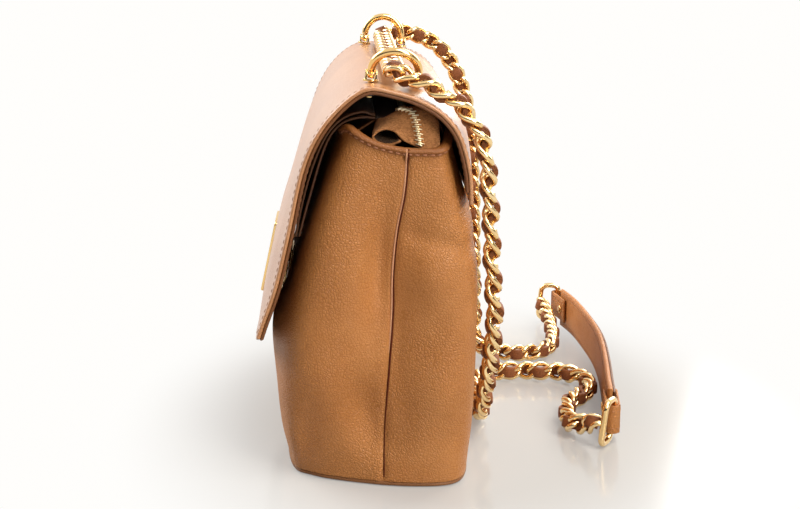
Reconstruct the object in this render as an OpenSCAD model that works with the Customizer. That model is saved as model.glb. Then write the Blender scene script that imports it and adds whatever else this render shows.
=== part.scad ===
// Flap shoulder bag with a laced chain strap, in millimetres, +Z up.
// X runs along the bag, the flap closes over the -Y side, and the origin
// is the middle of the base, on the ground that the bag stands on.

/* [Body] */
// Length over the two end seams
body_length = 262; // [220:1:320]
// Depth at the fullest level, front to back
body_depth = 107; // [90:1:130]
// Height of the rim above the ground
rim_height = 182; // [165:1:186]
// Thickness of the body leather
panel_t = 2; // [1.4:0.1:2.6]
// Thickness of the lining cloth
lining_t = 0.8; // [0.6:0.1:1.4]
// Thickness of the base leather
base_t = 2.4; // [1.6:0.1:3]
// Thickness of the stiffening board in the base
board_t = 1.6; // [1:0.1:2.4]
// How far the middle of each end is drawn in
end_pinch = 6; // [2:0.5:10]
// Height of the folded band round the rim
rim_band_h = 4; // [3:0.5:10]
// Thickness of the folded band round the rim
rim_band_t = 1.2; // [0.8:0.1:1.6]

/* [Flap] */
// Length of the flap along the bag
flap_length = 256; // [216:1:300]
// Height of the top of the flap above the rim
flap_rise = 24; // [20:1:36]
// How much further the flap reaches from front to back than the body
flap_room = 9; // [7:0.5:16]
// Thickness of the outer leather of the flap
flap_outer_t = 2; // [1.4:0.1:2.6]
// Thickness of the lining leather of the flap
flap_lining_t = 1.8; // [1.2:0.1:2.4]
// How much lower the flap hangs at its middle than at its corners
flap_drop = 20; // [8:1:24]
// How far the middle of the flap stands out over the lock
flap_swell = 2.5; // [1:0.5:4]

/* [Slip pocket] */
// Length of the slip pocket under the flap
pocket_length = 226; // [150:1:240]
// Thickness of each ply of the pocket
pocket_t = 1.2; // [0.8:0.1:1.6]

/* [Zip] */
// Distance from each end of the body to the end of the zip
zip_in = 23; // [16:0.5:50]
// Width of the whole zip tape
zip_width = 30; // [26:1:32]
// Thickness of the zip tape
tape_t = 1; // [0.6:0.1:1.4]
// Width of the closed row of teeth
teeth_w = 5; // [4:0.5:7]
// Spacing of the teeth
tooth_pitch = 3.6; // [2.4:0.2:6]
// Length of the puller
puller_l = 24; // [16:1:30]

/* [Strap arches] */
// Distance from each end of the flap to the middle of an arch
arch_in = 22; // [18:0.5:40]
// Diameter of the bar that the arches are bent from
arch_bar = 4.2; // [3.6:0.2:5]
// Width of an arch over its bar
arch_w = 27.6; // [24:0.2:32]
// Height of an arch from its pivot to its crown
arch_h = 16.6; // [16:0.2:22]
// Lean of the near arch from upright
near_lean = 30; // [0:1:34]

/* [Lock] */
// Width of the lock plates
lock_w = 26; // [20:1:34]
// Height of the lock case
lock_h = 35; // [30:1:40]
// Thickness of a lock plate
plate_t = 1.2; // [0.8:0.1:1.5]
// Height of the middle of the lock above the ground
lock_z = 80; // [74:1:92]
// Diameter of the stud that snaps into the lock
stud_d = 6; // [4:0.5:8]
// Travel of the release bolt
bolt_travel = 3; // [2:0.5:4]

/* [Strap] */
// Width of the laced chain
chain_w = 11; // [10:0.5:11.5]
// Thickness of the wire of the strap rings
ring_wire = 3.6; // [2.6:0.2:4.4]
// Height of a strap ring
ring_h = 28; // [27:1:32]
// Height of the shoulder pad as it stands on its edge
pad_h = 27; // [22:1:34]
// Thickness of one leather of the shoulder pad
pad_t = 2.2; // [1.4:0.1:2.6]

/* [Hidden] */

// Clearance between pieces that move or hardly touch
fit = 0.3;
// Reach of the flap from front to back, height of its top above the ground,
// and length of the zip between its two tails
flap_depth = body_depth + flap_room;
flap_top = rim_height + flap_rise;
zip_length = body_length - 2 * zip_in;
// Overrun of every cut
over = 1;
// Smoothness of round parts
$fn = 40;

leather = "peru";
dark_leather = "sienna";
cloth = "tan";
gold = "goldenrod";

// Steps of the wall along half of the plan and up its height
plan_steps = 36;
level_steps = 14;

// Wall of the body at equal steps of height, from the base to the rim:
// places across the bag as shares of body_depth, half length as a share
front_shares = [-0.49, -0.519, -0.52, -0.497, -0.463, -0.407, -0.342, -0.27, -0.2];
back_shares = [0.428, 0.45, 0.46, 0.467, 0.472, 0.464, 0.435, 0.376, 0.325];
seam_shares = [-0.005, 0, 0.012, 0.028, 0.042, 0.047, 0.066, 0.1, 0.112];
end_shares = [1, 1, 0.998, 0.995, 0.99, 0.984, 0.978, 0.97, 0.962];
pinch_shares = [0.15, 0.5, 0.85, 1, 1, 0.9, 0.7, 0.4, 0];
// Squareness of the plan's corners, as the power of a superellipse
front_powers = [4.6, 6, 7.5, 8, 8, 8, 8, 7.5, 7];
back_power = 8;
// Dip of the rim at the ends and rise at the front, as shares of its height
rim_dip_share = 0.033;
rim_rise_share = 0.004;
// Width of the drawn-in middle of an end, as a share of body_depth
pinch_width_share = 0.16;

// Outer line of the flap in the plane across the bag, from its lower front
// edge over the top to the seam on the back panel, as shares of the flap's
// reach and height
flap_shares = [
    [-0.591, 0.291], [-0.553, 0.388], [-0.493, 0.51], [-0.427, 0.645], [-0.356, 0.79],
    [-0.289, 0.886], [-0.19, 0.958], [-0.069, 0.998], [0.06, 0.994], [0.172, 0.982],
    [0.288, 0.952], [0.366, 0.893], [0.399, 0.8], [0.396, 0.716]];
// Share of the swell at equal steps from the lower edge to the bend
swell_shares = [0.2, 0.2, 0.23, 0.49, 0.73, 1, 0.65, 0.39, 0.16, 0.06, 0];
flap_steps = 5;
// Place along the flap line, in spans, of the bend that the flap opens at
bend_span = 5;
flap_columns = 12;
// Change of place along the line of the flap for a change of height
drop_share = 2.06;

// Smooth interpolation through a table of equal steps, t from 0 to 1
function at(table, i) = table[max(0, min(len(table) - 1, i))];
function cubic(a, b, c, d, f) =
    b + 0.5 * f * (c - a + f * (2 * a - 5 * b + 4 * c - d + f * (3 * (b - c) + d - a)));
function smooth(table, t) =
    let (s = t * (len(table) - 1), i = min(len(table) - 2, max(0, floor(s))))
    cubic(at(table, i - 1), table[i], table[i + 1], at(table, i + 2), s - i);
function along(points, steps, from, to) =
    [for (k = [from * steps : to * steps]) smooth(points, k / steps / (len(points) - 1))];

// Wall of the body: half is -1 for the front and 1 for the back, angle runs
// from the +X seam at 0 to the -X seam at 180, level is 0 at the base and 1
// at the rim, and inset is measured inwards from the outer face
function rim_rise(half, angle) =
    rim_height * (-half * rim_rise_share * sin(angle) - rim_dip_share * pow(cos(angle), 6));
function wall(half, angle, level, inset) =
    let (
        power = half < 0 ? smooth(front_powers, level) : back_power,
        seam = body_depth * smooth(seam_shares, level),
        edge = body_depth * smooth(half < 0 ? front_shares : back_shares, level),
        reach = abs(edge - seam) - inset,
        long = body_length / 2 * smooth(end_shares, level) - inset,
        y = half * reach * pow(max(0, sin(angle)), 2 / power),
        pinch = end_pinch * smooth(pinch_shares, level)
            * exp(-pow(y / (pinch_width_share * body_depth), 2)),
        x = sign(cos(angle)) * (long * pow(abs(cos(angle)), 2 / power) - pinch),
        z = base_t + level * (rim_height - base_t) + level * level * rim_rise(half, angle)
    )
    [x, seam + y, z];
// Angles that are closer together near the seams, where the ends bend
function plan_angle(k) = 180 * k / plan_steps;
function half_wall(half, levels, inset) =
    [for (v = levels) [for (k = [0 : plan_steps]) wall(half, plan_angle(k), v, inset)]];
function ring_wall(v, inset) = concat(
    [for (k = [0 : plan_steps]) wall(-1, plan_angle(k), v, inset)],
    [for (k = [plan_steps - 1 : -1 : 1]) wall(1, plan_angle(k), v, inset)]);
function flat_ring(ring, z) = [for (p = ring) [p[0], p[1], z]];
function levels_to(last) = [for (k = [0 : level_steps]) last * k / level_steps];

// Closed slab between two grids of the same size, given row by row
module slab(skin, under) {
    rows = len(skin);
    cols = len(skin[0]);
    half = rows * cols;
    points = concat([for (r = skin) each r], [for (r = under) each r]);
    function id(s, i, j) = s * half + i * cols + j;
    function two(a, b, c, d) = [[a, b, c], [a, c, d]];
    faces = concat(
        [for (i = [0 : rows - 2]) for (j = [0 : cols - 2])
            each two(id(0, i, j), id(0, i, j + 1), id(0, i + 1, j + 1), id(0, i + 1, j))],
        [for (i = [0 : rows - 2]) for (j = [0 : cols - 2])
            each two(id(1, i, j), id(1, i + 1, j), id(1, i + 1, j + 1), id(1, i, j + 1))],
        [for (j = [0 : cols - 2])
            each two(id(0, 0, j), id(1, 0, j), id(1, 0, j + 1), id(0, 0, j + 1))],
        [for (j = [0 : cols - 2]) each two(id(0, rows - 1, j), id(0, rows - 1, j + 1),
            id(1, rows - 1, j + 1), id(1, rows - 1, j))],
        [for (i = [0 : rows - 2])
            each two(id(0, i, 0), id(0, i + 1, 0), id(1, i + 1, 0), id(1, i, 0))],
        [for (i = [0 : rows - 2]) each two(id(0, i, cols - 1), id(1, i, cols - 1),
            id(1, i + 1, cols - 1), id(0, i + 1, cols - 1))]);
    polyhedron(points, faces, convexity = 10);
}

// Closed tube of rings, capped at both ends
module skin_rings(rings) {
    rows = len(rings);
    cols = len(rings[0]);
    points = [for (r = rings) each r];
    function id(i, j) = i * cols + (j % cols);
    faces = concat(
        [for (i = [0 : rows - 2]) for (j = [0 : cols - 1])
            each [[id(i, j), id(i + 1, j), id(i + 1, j + 1)],
                [id(i, j), id(i + 1, j + 1), id(i, j + 1)]]],
        [[for (j = [0 : cols - 1]) id(0, j)]],
        [[for (j = [cols - 1 : -1 : 0]) id(rows - 1, j)]]);
    polyhedron(points, faces, convexity = 10);
}

// Body

module wall_half(half) {
    levels = levels_to(1);
    outer = half_wall(half, levels, 0);
    inner = half_wall(half, levels, panel_t);
    trimmed = function(grid) [for (r = grid) [for (k = [0 : plan_steps])
        [r[k][0], k == 0 || k == plan_steps ? r[k][1] + half * fit / 2 : r[k][1], r[k][2]]]];
    if (half < 0) slab(trimmed(outer), trimmed(inner));
    else slab(trimmed(inner), trimmed(outer));
}

module front_panel() color(leather) difference() {
    wall_half(-1);
    lock_frame() lock_holes();
}

module back_panel() color(leather) wall_half(1);

module base_panel() color(dark_leather)
    linear_extrude(base_t) polygon([for (p = ring_wall(0, 0)) [p[0], p[1]]]);

module base_board() color(cloth)
    translate([0, 0, base_t]) linear_extrude(board_t)
        polygon([for (p = ring_wall(0, panel_t + 2 * fit)) [p[0], p[1]]]);

// Lining pouch: outer rings, floor and inner rings in one closed skin
lining_top_share = 0.95;
module lining() color(cloth) {
    floor_z = base_t + board_t + fit;
    gap = panel_t + plate_t + 5 * fit;
    steps = level_steps / 2;
    first_share = 0.06;
    up = [for (k = [0 : steps])
        first_share + (lining_top_share - first_share) * k / steps];
    skin_rings(concat(
        [flat_ring(ring_wall(0, gap + lining_t), floor_z + lining_t)],
        [for (v = up) ring_wall(v, gap + lining_t)],
        [for (k = [steps : -1 : 0]) ring_wall(up[k], gap)],
        [flat_ring(ring_wall(0, gap), floor_z)]));
}

// Raised seam down the middle of each end
welt_w = 2.4;
welt_top_share = 0.95;
module end_welts() color(leather) for (side = [0, 180]) {
    levels = levels_to(welt_top_share);
    line = [for (v = levels) wall(-1, side, v, 0)];
    out = side == 0 ? 1 : -1;
    skin_rings([for (p = line) [
        for (q = [[fit, -welt_w / 2], [fit + welt_w / 2, 0], [fit, welt_w / 2]])
            [p[0] + out * q[0], p[1] + out * q[1], p[2]]]]);
}

// Band folded over the rim, sewn on the outside of each panel
module rim_band(half) {
    low = 1 - rim_band_h / rim_height;
    from = 1;
    to = plan_steps - 1;
    rows = function(inset) [for (v = [low, 1]) [for (k = [from : to])
        wall(half, plan_angle(k), v, inset)]];
    near = -1.5 * fit;
    if (half < 0) slab(rows(near - rim_band_t), rows(near));
    else slab(rows(near), rows(near - rim_band_t));
}
module rim_band_front() color(leather) rim_band(-1);
module rim_band_back() color(leather) rim_band(1);

// Zip, on a line along the bag over the middle of the rim

zip_y = body_depth * 0.112;
zip_z = rim_height + 5 * tape_t;
facing_t = 1.2;
facing_level_share = 0.975;
facing_lap = 3.4;

// Strip along the bag from a profile given as [y, z] points
module strip(profile, length) {
    translate([-length / 2, 0, 0]) rotate([90, 0, 90]) linear_extrude(length) polygon(profile);
}

// Facing from inside the rim to the underside of one zip tape
module facing(half) {
    edge = zip_y + half * zip_width / 2;
    first = 11;
    points = [for (k = [first : plan_steps - first])
        wall(half, plan_angle(k), facing_level_share, panel_t + fit)];
    rows = function(drop) [
        [for (p = points) [p[0], p[1], p[2] - drop]],
        [for (p = points) [p[0], edge + half * facing_t, zip_z - drop]],
        [for (p = points) [p[0], edge - half * facing_lap, zip_z - drop]]];
    if (half < 0) slab(rows(0), rows(facing_t));
    else slab(rows(facing_t), rows(0));
}
module zip_facing_front() color(dark_leather) facing(-1);
module zip_facing_back() color(dark_leather) facing(1);

module tape(side) {
    w = (zip_width - teeth_w) / 2;
    y = zip_y + side * (teeth_w / 2 + w / 2);
    translate([-zip_length / 2, y - w / 2, zip_z]) cube([zip_length, w, tape_t]);
}
module zip_tape_front() color(cloth) tape(-1);
module zip_tape_back() color(cloth) tape(1);

tooth_t = 2.2;
tooth_gap_share = 0.25;
module zip_teeth() color(gold) {
    count = floor(zip_length / tooth_pitch);
    l = tooth_pitch * (1 - tooth_gap_share);
    for (k = [0 : count - 1])
        translate([(k - (count - 1) / 2) * tooth_pitch - l / 2, zip_y - teeth_w / 2,
            zip_z + tape_t / 2 - tooth_t / 2])
            cube([l, teeth_w, tooth_t]);
}

// Loose end of the tape at each end of the zip, arched and turned down
tail_rise = 9;
tail_drop = 6;
tail_l = 13;
tail_shares = [[0, 0], [0.3, 0.45], [0.6, 1], [0.85, 0.8], [1, 0.1], [1, -0.65]];
module zip_tails() color(cloth) for (side = [-1, 1]) {
    line = along([for (p = tail_shares) [p[0] * tail_l, p[1] * tail_rise]], 3, 0,
        len(tail_shares) - 1);
    across = 8;
    grid = function(out) [for (i = [0 : len(line) - 1])
        let (d = line[min(len(line) - 1, i + 1)] - line[max(0, i - 1)],
            p = line[i] + out * turn_left(d))
        [for (j = [0 : across]) let (s = 2 * j / across - 1)
            [side * (zip_length / 2 + fit + max(0, p[0])),
                zip_y + s * zip_width / 2,
                zip_z + p[1] - tail_drop * s * s * line[i][0] / tail_l]]];
    if (side > 0) slab(grid(tape_t), grid(0));
    else slab(grid(0), grid(tape_t));
}

// Slider at the far end, where the closed zip holds it
slider_l = 11;
slider_w = 8;
slider_t = 1.4;
slider_in = 14;
slider_x = -zip_length / 2 + slider_in;
bail_w = 3;
bail_bore = 1.1;
module zip_slider() color(gold) {
    half = tooth_t / 2 + fit;
    mid = zip_z + tape_t / 2;
    for (side = [-1, 1])
        translate([slider_x - slider_l / 2, zip_y - slider_w / 2,
            side > 0 ? mid + half : mid - half - slider_t])
            cube([slider_l, slider_w, slider_t]);
    difference() {
        translate([slider_x - slider_l / 4, zip_y - bail_w / 2, mid + half + slider_t])
            cube([slider_l / 2, bail_w, 2 * bail_bore + slider_t]);
        puller_pivot() cylinder(r = bail_bore, h = 2 * slider_w, center = true);
    }
}
module puller_pivot() {
    translate([slider_x, zip_y, zip_z + tape_t / 2 + tooth_t / 2 + slider_t + bail_bore + 3 * fit])
        rotate([90, 0, 0]) children();
}
puller_w = 7;
puller_t = 1.4;
// Puller: pin through the bail, two cheeks and a plain tab along the zip
module zip_puller() color(gold) puller_pivot() union() {
    cheek = 1.2;
    inside = bail_w + 2 * fit;
    cylinder(r = bail_bore - fit / 2, h = inside + 2 * cheek + 2 * fit, center = true);
    for (side = [-1, 1]) translate([0, 0, side * (inside / 2 + cheek / 2)])
        linear_extrude(cheek, center = true) {
            circle(r = puller_t);
            translate([0, -puller_t / 2]) square([slider_l, puller_t]);
        }
    translate([slider_l - 2 * fit, -puller_t / 2 + fit / 2, -puller_w / 2])
        cube([puller_l - slider_l, puller_t - fit, puller_w]);
}

// Flap

function flap_outer() = along(
    [for (p = flap_shares) [p[0] * flap_depth, p[1] * flap_top]], flap_steps, 0, len(flap_shares) - 1);
function turn_left(d) = [-d[1], d[0]] / norm(d);
// Line at a depth below the outer line of the flap
function under(line, depth) = [for (i = [0 : len(line) - 1])
    let (d = line[min(len(line) - 1, i + 1)] - line[max(0, i - 1)])
    line[i] - depth * turn_left(d)];
bend = bend_span * flap_steps;
function part_of(line, from, to) = [for (i = [from : to]) line[i]];
hinge = flap_outer()[bend];

// Band of the flap between two depths, as a closed [y, z] outline
function band(from_i, to_i, d1, d2) = let (o = flap_outer())
    concat(part_of(under(o, d1), from_i, to_i),
        [for (i = [to_i : -1 : from_i]) under(o, d2)[i]]);
last = len(flap_shares) * flap_steps - flap_steps;

module flap_top_outer() color(leather) difference() {
    strip(band(bend, last, 0, flap_outer_t), flap_length);
    arch_holes();
}
module flap_top_lining() color(dark_leather) difference() {
    strip(band(bend, last - 2, flap_outer_t, flap_outer_t + flap_lining_t), flap_length);
    arch_holes();
}

// Front of the flap: rows down from the bend, columns along the bag. The
// lower edge drops towards the middle, and the middle stands out a little.
function flap_row(line, s) = [for (j = [0 : flap_columns])
    let (u = 2 * j / flap_columns - 1,
        q = 1 - (1 - flap_drop * drop_share / flap_top * u * u) * (1 - s),
        row = smooth(line, q))
    [u * flap_length / 2, row[0] - flap_swell * (1 - u * u) * smooth(swell_shares, q), row[1]]];
module flap_front(d1, d2) {
    o = flap_outer();
    rows = 16;
    line = function(d) part_of(under(o, d), 0, bend);
    grid = function(d) [for (i = [0 : rows]) flap_row(line(d), i / rows)];
    slab(grid(d2), grid(d1));
}
module flap_front_outer() color(leather) difference() {
    flap_front(0, flap_outer_t);
    flap_frame() flap_holes();
}
module flap_front_lining() color(dark_leather) difference() {
    flap_front(flap_outer_t, flap_outer_t + flap_lining_t);
    flap_frame() flap_holes();
}

// Slip pocket between the flap and the front panel: two plies that hang
// over the front rim, sewn together at the bottom

// Lines of the two plies, as shares of body_depth and rim_height
pocket_back_shares = [
    [-0.0318, 1.0407], [-0.0561, 1.0412], [-0.0841, 1.0429], [-0.1402, 1.0379],
    [-0.1916, 1.0247], [-0.2355, 1], [-0.2692, 0.9643], [-0.3028, 0.9093],
    [-0.3346, 0.8462], [-0.3701, 0.7747], [-0.4, 0.7088]];
pocket_front_shares = [
    [-0.0318, 1.0484], [-0.0561, 1.0511], [-0.0841, 1.0571], [-0.1449, 1.0505],
    [-0.2009, 1.033], [-0.2523, 1.0022], [-0.2916, 0.9615], [-0.3299, 0.9066],
    [-0.3626, 0.8462], [-0.3935, 0.7747], [-0.4159, 0.7088]];
module ply(shares) {
    line = along([for (p = shares) [p[0] * body_depth, p[1] * rim_height]], 3, 0,
        len(shares) - 1);
    below = [for (i = [0 : len(line) - 1])
        let (d = line[min(len(line) - 1, i + 1)] - line[max(0, i - 1)])
        line[i] + pocket_t * turn_left(d)];
    strip(concat(line, [for (i = [len(line) - 1 : -1 : 0]) below[i]]), pocket_length);
}
module pocket_front_ply() color(dark_leather) ply(pocket_front_shares);
module pocket_back_ply() color(dark_leather) ply(pocket_back_shares);

// Strap arches, which swivel on pins between two ears on the top of the flap

arch_spacing = flap_length - 2 * arch_in;
arch_y_share = 0.05172;
arch_y = flap_depth * arch_y_share;
arch_slope_share = 0.05422;
arch_tilt = -atan(arch_slope_share * flap_top / flap_depth);
ear_t = 1.2;
eye_w = 3;
pivot_r = 1.1;
pivot_h = 3.6;
seat_t = 1;
seat_rim = 1;
seat_w = eye_w + 2 * ear_t + 2 * fit + 2 * seat_rim;
arch_foot = arch_w / 2 - arch_bar / 2;
arch_z_share = 0.9964;
arch_z = flap_top * arch_z_share;
screw_r = 1.25;
washer_r = 3.6;
washer_t = 1;
// Point of the flap's line as seen from the seats: across the bag and up
function from_seat(p) = let (d = [p[0] - arch_y, p[1] - arch_z])
    [d[0] * cos(arch_tilt) + d[1] * sin(arch_tilt), d[1] * cos(arch_tilt) - d[0] * sin(arch_tilt)];
// Depth that the curve of the flap adds under a flat seat
seat_reach = arch_foot + washer_r + seat_rim;
seat_gap = fit / 2 - flap_outer_t - flap_lining_t - min(
    [for (p = under(flap_outer(), flap_outer_t + flap_lining_t)) let (q = from_seat(p))
        if (abs(q[0]) < seat_reach && q[1] > -arch_h) q[1]]);

// Frame of one arch on the flap: x along the bag, y across it
module on_flap(side) {
    translate([side * arch_spacing / 2, arch_y, arch_z]) rotate([arch_tilt, 0, 0]) children();
}
module at_feet() {
    for (foot = [-1, 1]) translate([0, foot * arch_foot, 0]) children();
}
module arch_holes() {
    for (side = [-1, 1]) on_flap(side) at_feet()
        cylinder(r = screw_r + fit / 2, h = 6 * flap_outer_t, center = true);
}
module arch_seats() color(gold) for (side = [-1, 1]) on_flap(side) at_feet() {
    difference() {
        union() {
            cylinder(r = seat_w / 2, h = seat_t);
            for (ear = [-1, 1]) translate([0, ear * (eye_w / 2 + fit + ear_t / 2), 0])
                rotate([90, 0, 0]) linear_extrude(ear_t, center = true) {
                    translate([-2 * pivot_r, 0]) square([4 * pivot_r, pivot_h]);
                    translate([0, pivot_h]) circle(r = 2 * pivot_r);
                }
        }
        translate([0, 0, pivot_h]) rotate([90, 0, 0])
            cylinder(r = pivot_r, h = 2 * seat_w, center = true);
        translate([0, 0, -over]) cylinder(r = screw_r + fit / 2, h = seat_t + over - fit);
    }
}
module arch_pins() color(gold) for (side = [-1, 1]) on_flap(side) at_feet()
    translate([0, 0, pivot_h]) rotate([90, 0, 0])
        cylinder(r = pivot_r, h = eye_w + 2 * ear_t + 2 * fit, center = true);
// Screws come up through the flap into the seats
module arch_screws() color(gold) for (side = [-1, 1]) on_flap(side) at_feet() {
    deep = flap_outer_t + flap_lining_t + washer_t + seat_gap;
    translate([0, 0, -deep]) cylinder(r = screw_r, h = deep + seat_t - 2 * fit);
    translate([0, 0, -deep - washer_t]) cylinder(r = 2 * screw_r, h = washer_t);
}
module arch_backings() color(gold) for (side = [-1, 1]) on_flap(side) at_feet() {
    deep = flap_outer_t + flap_lining_t + washer_t + seat_gap;
    translate([0, 0, -deep]) difference() {
        cylinder(r = washer_r, h = washer_t);
        translate([0, 0, -over]) cylinder(r = screw_r + fit / 2, h = washer_t + 2 * over);
    }
}
// One arch: a half ring on two legs, each ending in an eye on its pin
module arch(lean) {
    r = arch_foot;
    leg = arch_h - arch_w / 2;
    translate([0, 0, pivot_h]) rotate([0, lean, 0]) {
        difference() {
            union() {
                translate([0, 0, leg]) rotate([90, 0, 90]) rotate_extrude(angle = 180)
                    translate([r, 0]) circle(d = arch_bar);
                at_feet() translate([0, 0, pivot_r]) cylinder(d = arch_bar - 2 * fit, h = leg - pivot_r);
                at_feet() rotate([90, 0, 0]) cylinder(r = 2 * pivot_r, h = eye_w, center = true);
            }
            at_feet() rotate([90, 0, 0])
                cylinder(r = pivot_r + fit / 2, h = eye_w + 2 * over, center = true);
            at_feet() for (ear = [-1, 1])
                translate([-arch_bar, ear * (eye_w / 2 + arch_bar / 2) - arch_bar / 2, -arch_bar])
                    cube([2 * arch_bar, arch_bar, arch_bar + 2 * pivot_r + fit]);
        }
    }
}
module arch_near() color(gold) on_flap(1) arch(near_lean);
module arch_far() color(gold) on_flap(-1) arch(0);

// Press lock: a case on the front panel and a stud on the flap

// Slope of the front panel behind the lock
lock_level = (lock_z - base_t) / (rim_height - base_t);
level_step_share = 0.06;
lock_low = wall(-1, 90, lock_level - level_step_share, 0);
lock_high = wall(-1, 90, lock_level + level_step_share, 0);
lock_tilt = atan2(lock_high[1] - lock_low[1], lock_high[2] - lock_low[2]);
lock_mid = wall(-1, 90, lock_level, 0);
// Frame of the lock: x along the bag, y up the panel, z out of it
module lock_frame() {
    translate([0, lock_mid[1], lock_mid[2]]) rotate([90 - lock_tilt, 0, 0]) children();
}
corner_r = 2;
block_h = lock_h * 0.3;
spacer_h = lock_h * 0.2;
case_d = 5.4;
bolt_w = 6.4;
bolt_t = 1.2;
bolt_gap = 1;
bolt_z = plate_t + bolt_gap;
tab_l = 5;
// Height of the stud above the middle of the lock
stud_y = 2;
screw_x_share = 0.36;
// Depth of the case screws in the block and in the spacer
screw_in = 1.2;

module plate(w, h, t) {
    linear_extrude(t) difference() {
        square([w, h], center = true);
        for (sx = [-1, 1]) for (sy = [-1, 1]) translate([sx * w / 2, sy * h / 2])
            difference() {
                square(2 * corner_r, center = true);
                translate([-sx * corner_r, -sy * corner_r]) circle(r = corner_r);
            }
    }
}
module lock_corners(w, h) {
    for (sx = [-1, 1]) for (sy = [-1, 1])
        translate([sx * screw_x_share * w, sy * (h / 2 - corner_r - screw_r)]) children();
}
module lock_holes() {
    lock_corners(lock_w, lock_h)
        cylinder(r = screw_r + fit / 2, h = 6 * panel_t, center = true);
}
module lock_base_plate() color(gold) lock_frame() translate([0, 0, fit]) difference() {
    plate(lock_w, lock_h, plate_t);
    lock_corners(lock_w, lock_h) translate([0, 0, -over])
        cylinder(r = screw_r + fit / 2, h = plate_t + 2 * over);
}
module lock_front_plate() color(gold) lock_frame() translate([0, 0, case_d - plate_t])
    difference() {
        h = lock_h - spacer_h - block_h;
        translate([0, (block_h - spacer_h) / 2, 0]) plate(lock_w, h + 2 * spacer_h, plate_t);
        translate([0, stud_y, -over]) cylinder(d = stud_d + 4 * fit, h = plate_t + 2 * over);
    }
module lock_block() color(gold) lock_frame()
    translate([0, -lock_h / 2 + block_h / 2, fit + plate_t]) difference() {
        deep = case_d - 2 * plate_t - fit;
        translate([-lock_w / 2, -block_h / 2, 0]) cube([lock_w, block_h, deep]);
        translate([-bolt_w / 2 - fit, -block_h / 2 - over, bolt_z - plate_t - 2 * fit])
            cube([bolt_w + 2 * fit, block_h + 2 * over, bolt_t + 2 * fit]);
        for (sx = [-1, 1]) translate([sx * screw_x_share * lock_w,
            -block_h / 2 + corner_r + screw_r, -over])
            cylinder(r = screw_r + fit / 2, h = screw_in + over);
    }
module lock_spacer() color(dark_leather) lock_frame()
    translate([0, lock_h / 2 - spacer_h / 2, fit + plate_t]) difference() {
        deep = case_d - 2 * plate_t - fit;
        translate([-lock_w / 2, -spacer_h / 2, 0]) cube([lock_w, spacer_h, deep]);
        for (sx = [-1, 1]) translate([sx * screw_x_share * lock_w,
            spacer_h / 2 - corner_r - screw_r, -over])
            cylinder(r = screw_r + fit / 2, h = screw_in + over);
    }
// Bolt: a plate over the block with a slot round the stud, and a stem that
// runs down through the block to a tab below the case
module lock_bolt() color(gold) lock_frame() translate([0, 0, bolt_z]) {
    low = -lock_h / 2 + block_h + fit;
    top = lock_h / 2 - spacer_h - bolt_travel - 2 * fit;
    slot_r = stud_d / 2 + 2 * fit;
    linear_extrude(bolt_t) difference() {
        union() {
            translate([-bolt_w / 2 - stud_d / 2, low]) square([bolt_w + stud_d, top - low]);
            translate([-bolt_w / 2, -lock_h / 2 - tab_l])
                square([bolt_w, low + lock_h / 2 + tab_l + fit]);
        }
        for (y = [0, -bolt_travel]) translate([0, stud_y + y]) circle(r = slot_r);
        translate([-slot_r, stud_y - bolt_travel]) square([2 * slot_r, bolt_travel]);
    }
}
// Backing inside the panel, with the four screws that hold the case
module lock_backing() color(gold) lock_frame() translate([0, 0, -panel_t - 3 * fit - plate_t])
    plate(lock_w, lock_h, plate_t);
module lock_screws() color(gold) lock_frame() lock_corners(lock_w, lock_h)
    translate([0, 0, -panel_t - 3 * fit])
        cylinder(r = screw_r, h = panel_t + 4 * fit + plate_t + screw_in);

// Frame of the plates on the flap: x along the bag, y up the flap, z out of it
flap_t = flap_outer_t + flap_lining_t;
flap_plate_w = lock_w * 1.3;
flap_plate_h = lock_h * 1.2;
flap_plate_share = 0.31;
outer_plate_t = 2 * plate_t;
function flap_mid(s) = flap_row(part_of(flap_outer(), 0, bend), s)[flap_columns / 2];
plate_step_share = 0.14;
flap_low = flap_mid(flap_plate_share - plate_step_share);
flap_high = flap_mid(flap_plate_share + plate_step_share);
flap_at = (flap_low + flap_high) / 2;
flap_tilt = atan2(flap_high[1] - flap_low[1], flap_high[2] - flap_low[2]);
module flap_frame() {
    translate([0, flap_at[1], flap_at[2]]) rotate([90 - flap_tilt, 0, 0]) children();
}
function up_vector(tilt) = [0, sin(tilt), cos(tilt)];
function out_vector(tilt) = [0, -cos(tilt), sin(tilt)];
// Place of the stud in the frame of the plates, from its place in the lock
stud_place = lock_mid + stud_y * up_vector(lock_tilt) + bolt_z * out_vector(lock_tilt) - flap_at;
stud_up = stud_place * up_vector(flap_tilt);
stud_in = stud_place * out_vector(flap_tilt);

module flap_holes() {
    lock_corners(flap_plate_w, flap_plate_h)
        cylinder(r = screw_r + fit / 2, h = 4 * flap_t, center = true);
}
module flap_plate_inner() color(gold) flap_frame() translate([0, 0, -flap_t - fit - plate_t])
    plate(flap_plate_w, flap_plate_h, plate_t);
module flap_plate_outer() color(gold) flap_frame() translate([0, 0, fit])
    plate(flap_plate_w, flap_plate_h, outer_plate_t);
module flap_plate_screws() color(gold) flap_frame() lock_corners(flap_plate_w, flap_plate_h)
    translate([0, 0, -flap_t - fit]) cylinder(r = screw_r, h = flap_t + 2 * fit);
module lock_stud() color(gold) flap_frame() translate([0, stud_up, stud_in])
    cylinder(d = stud_d, h = -flap_t - fit - plate_t - stud_in);

// Strap: a laced chain in one loop through both arches, with a shoulder pad

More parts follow.
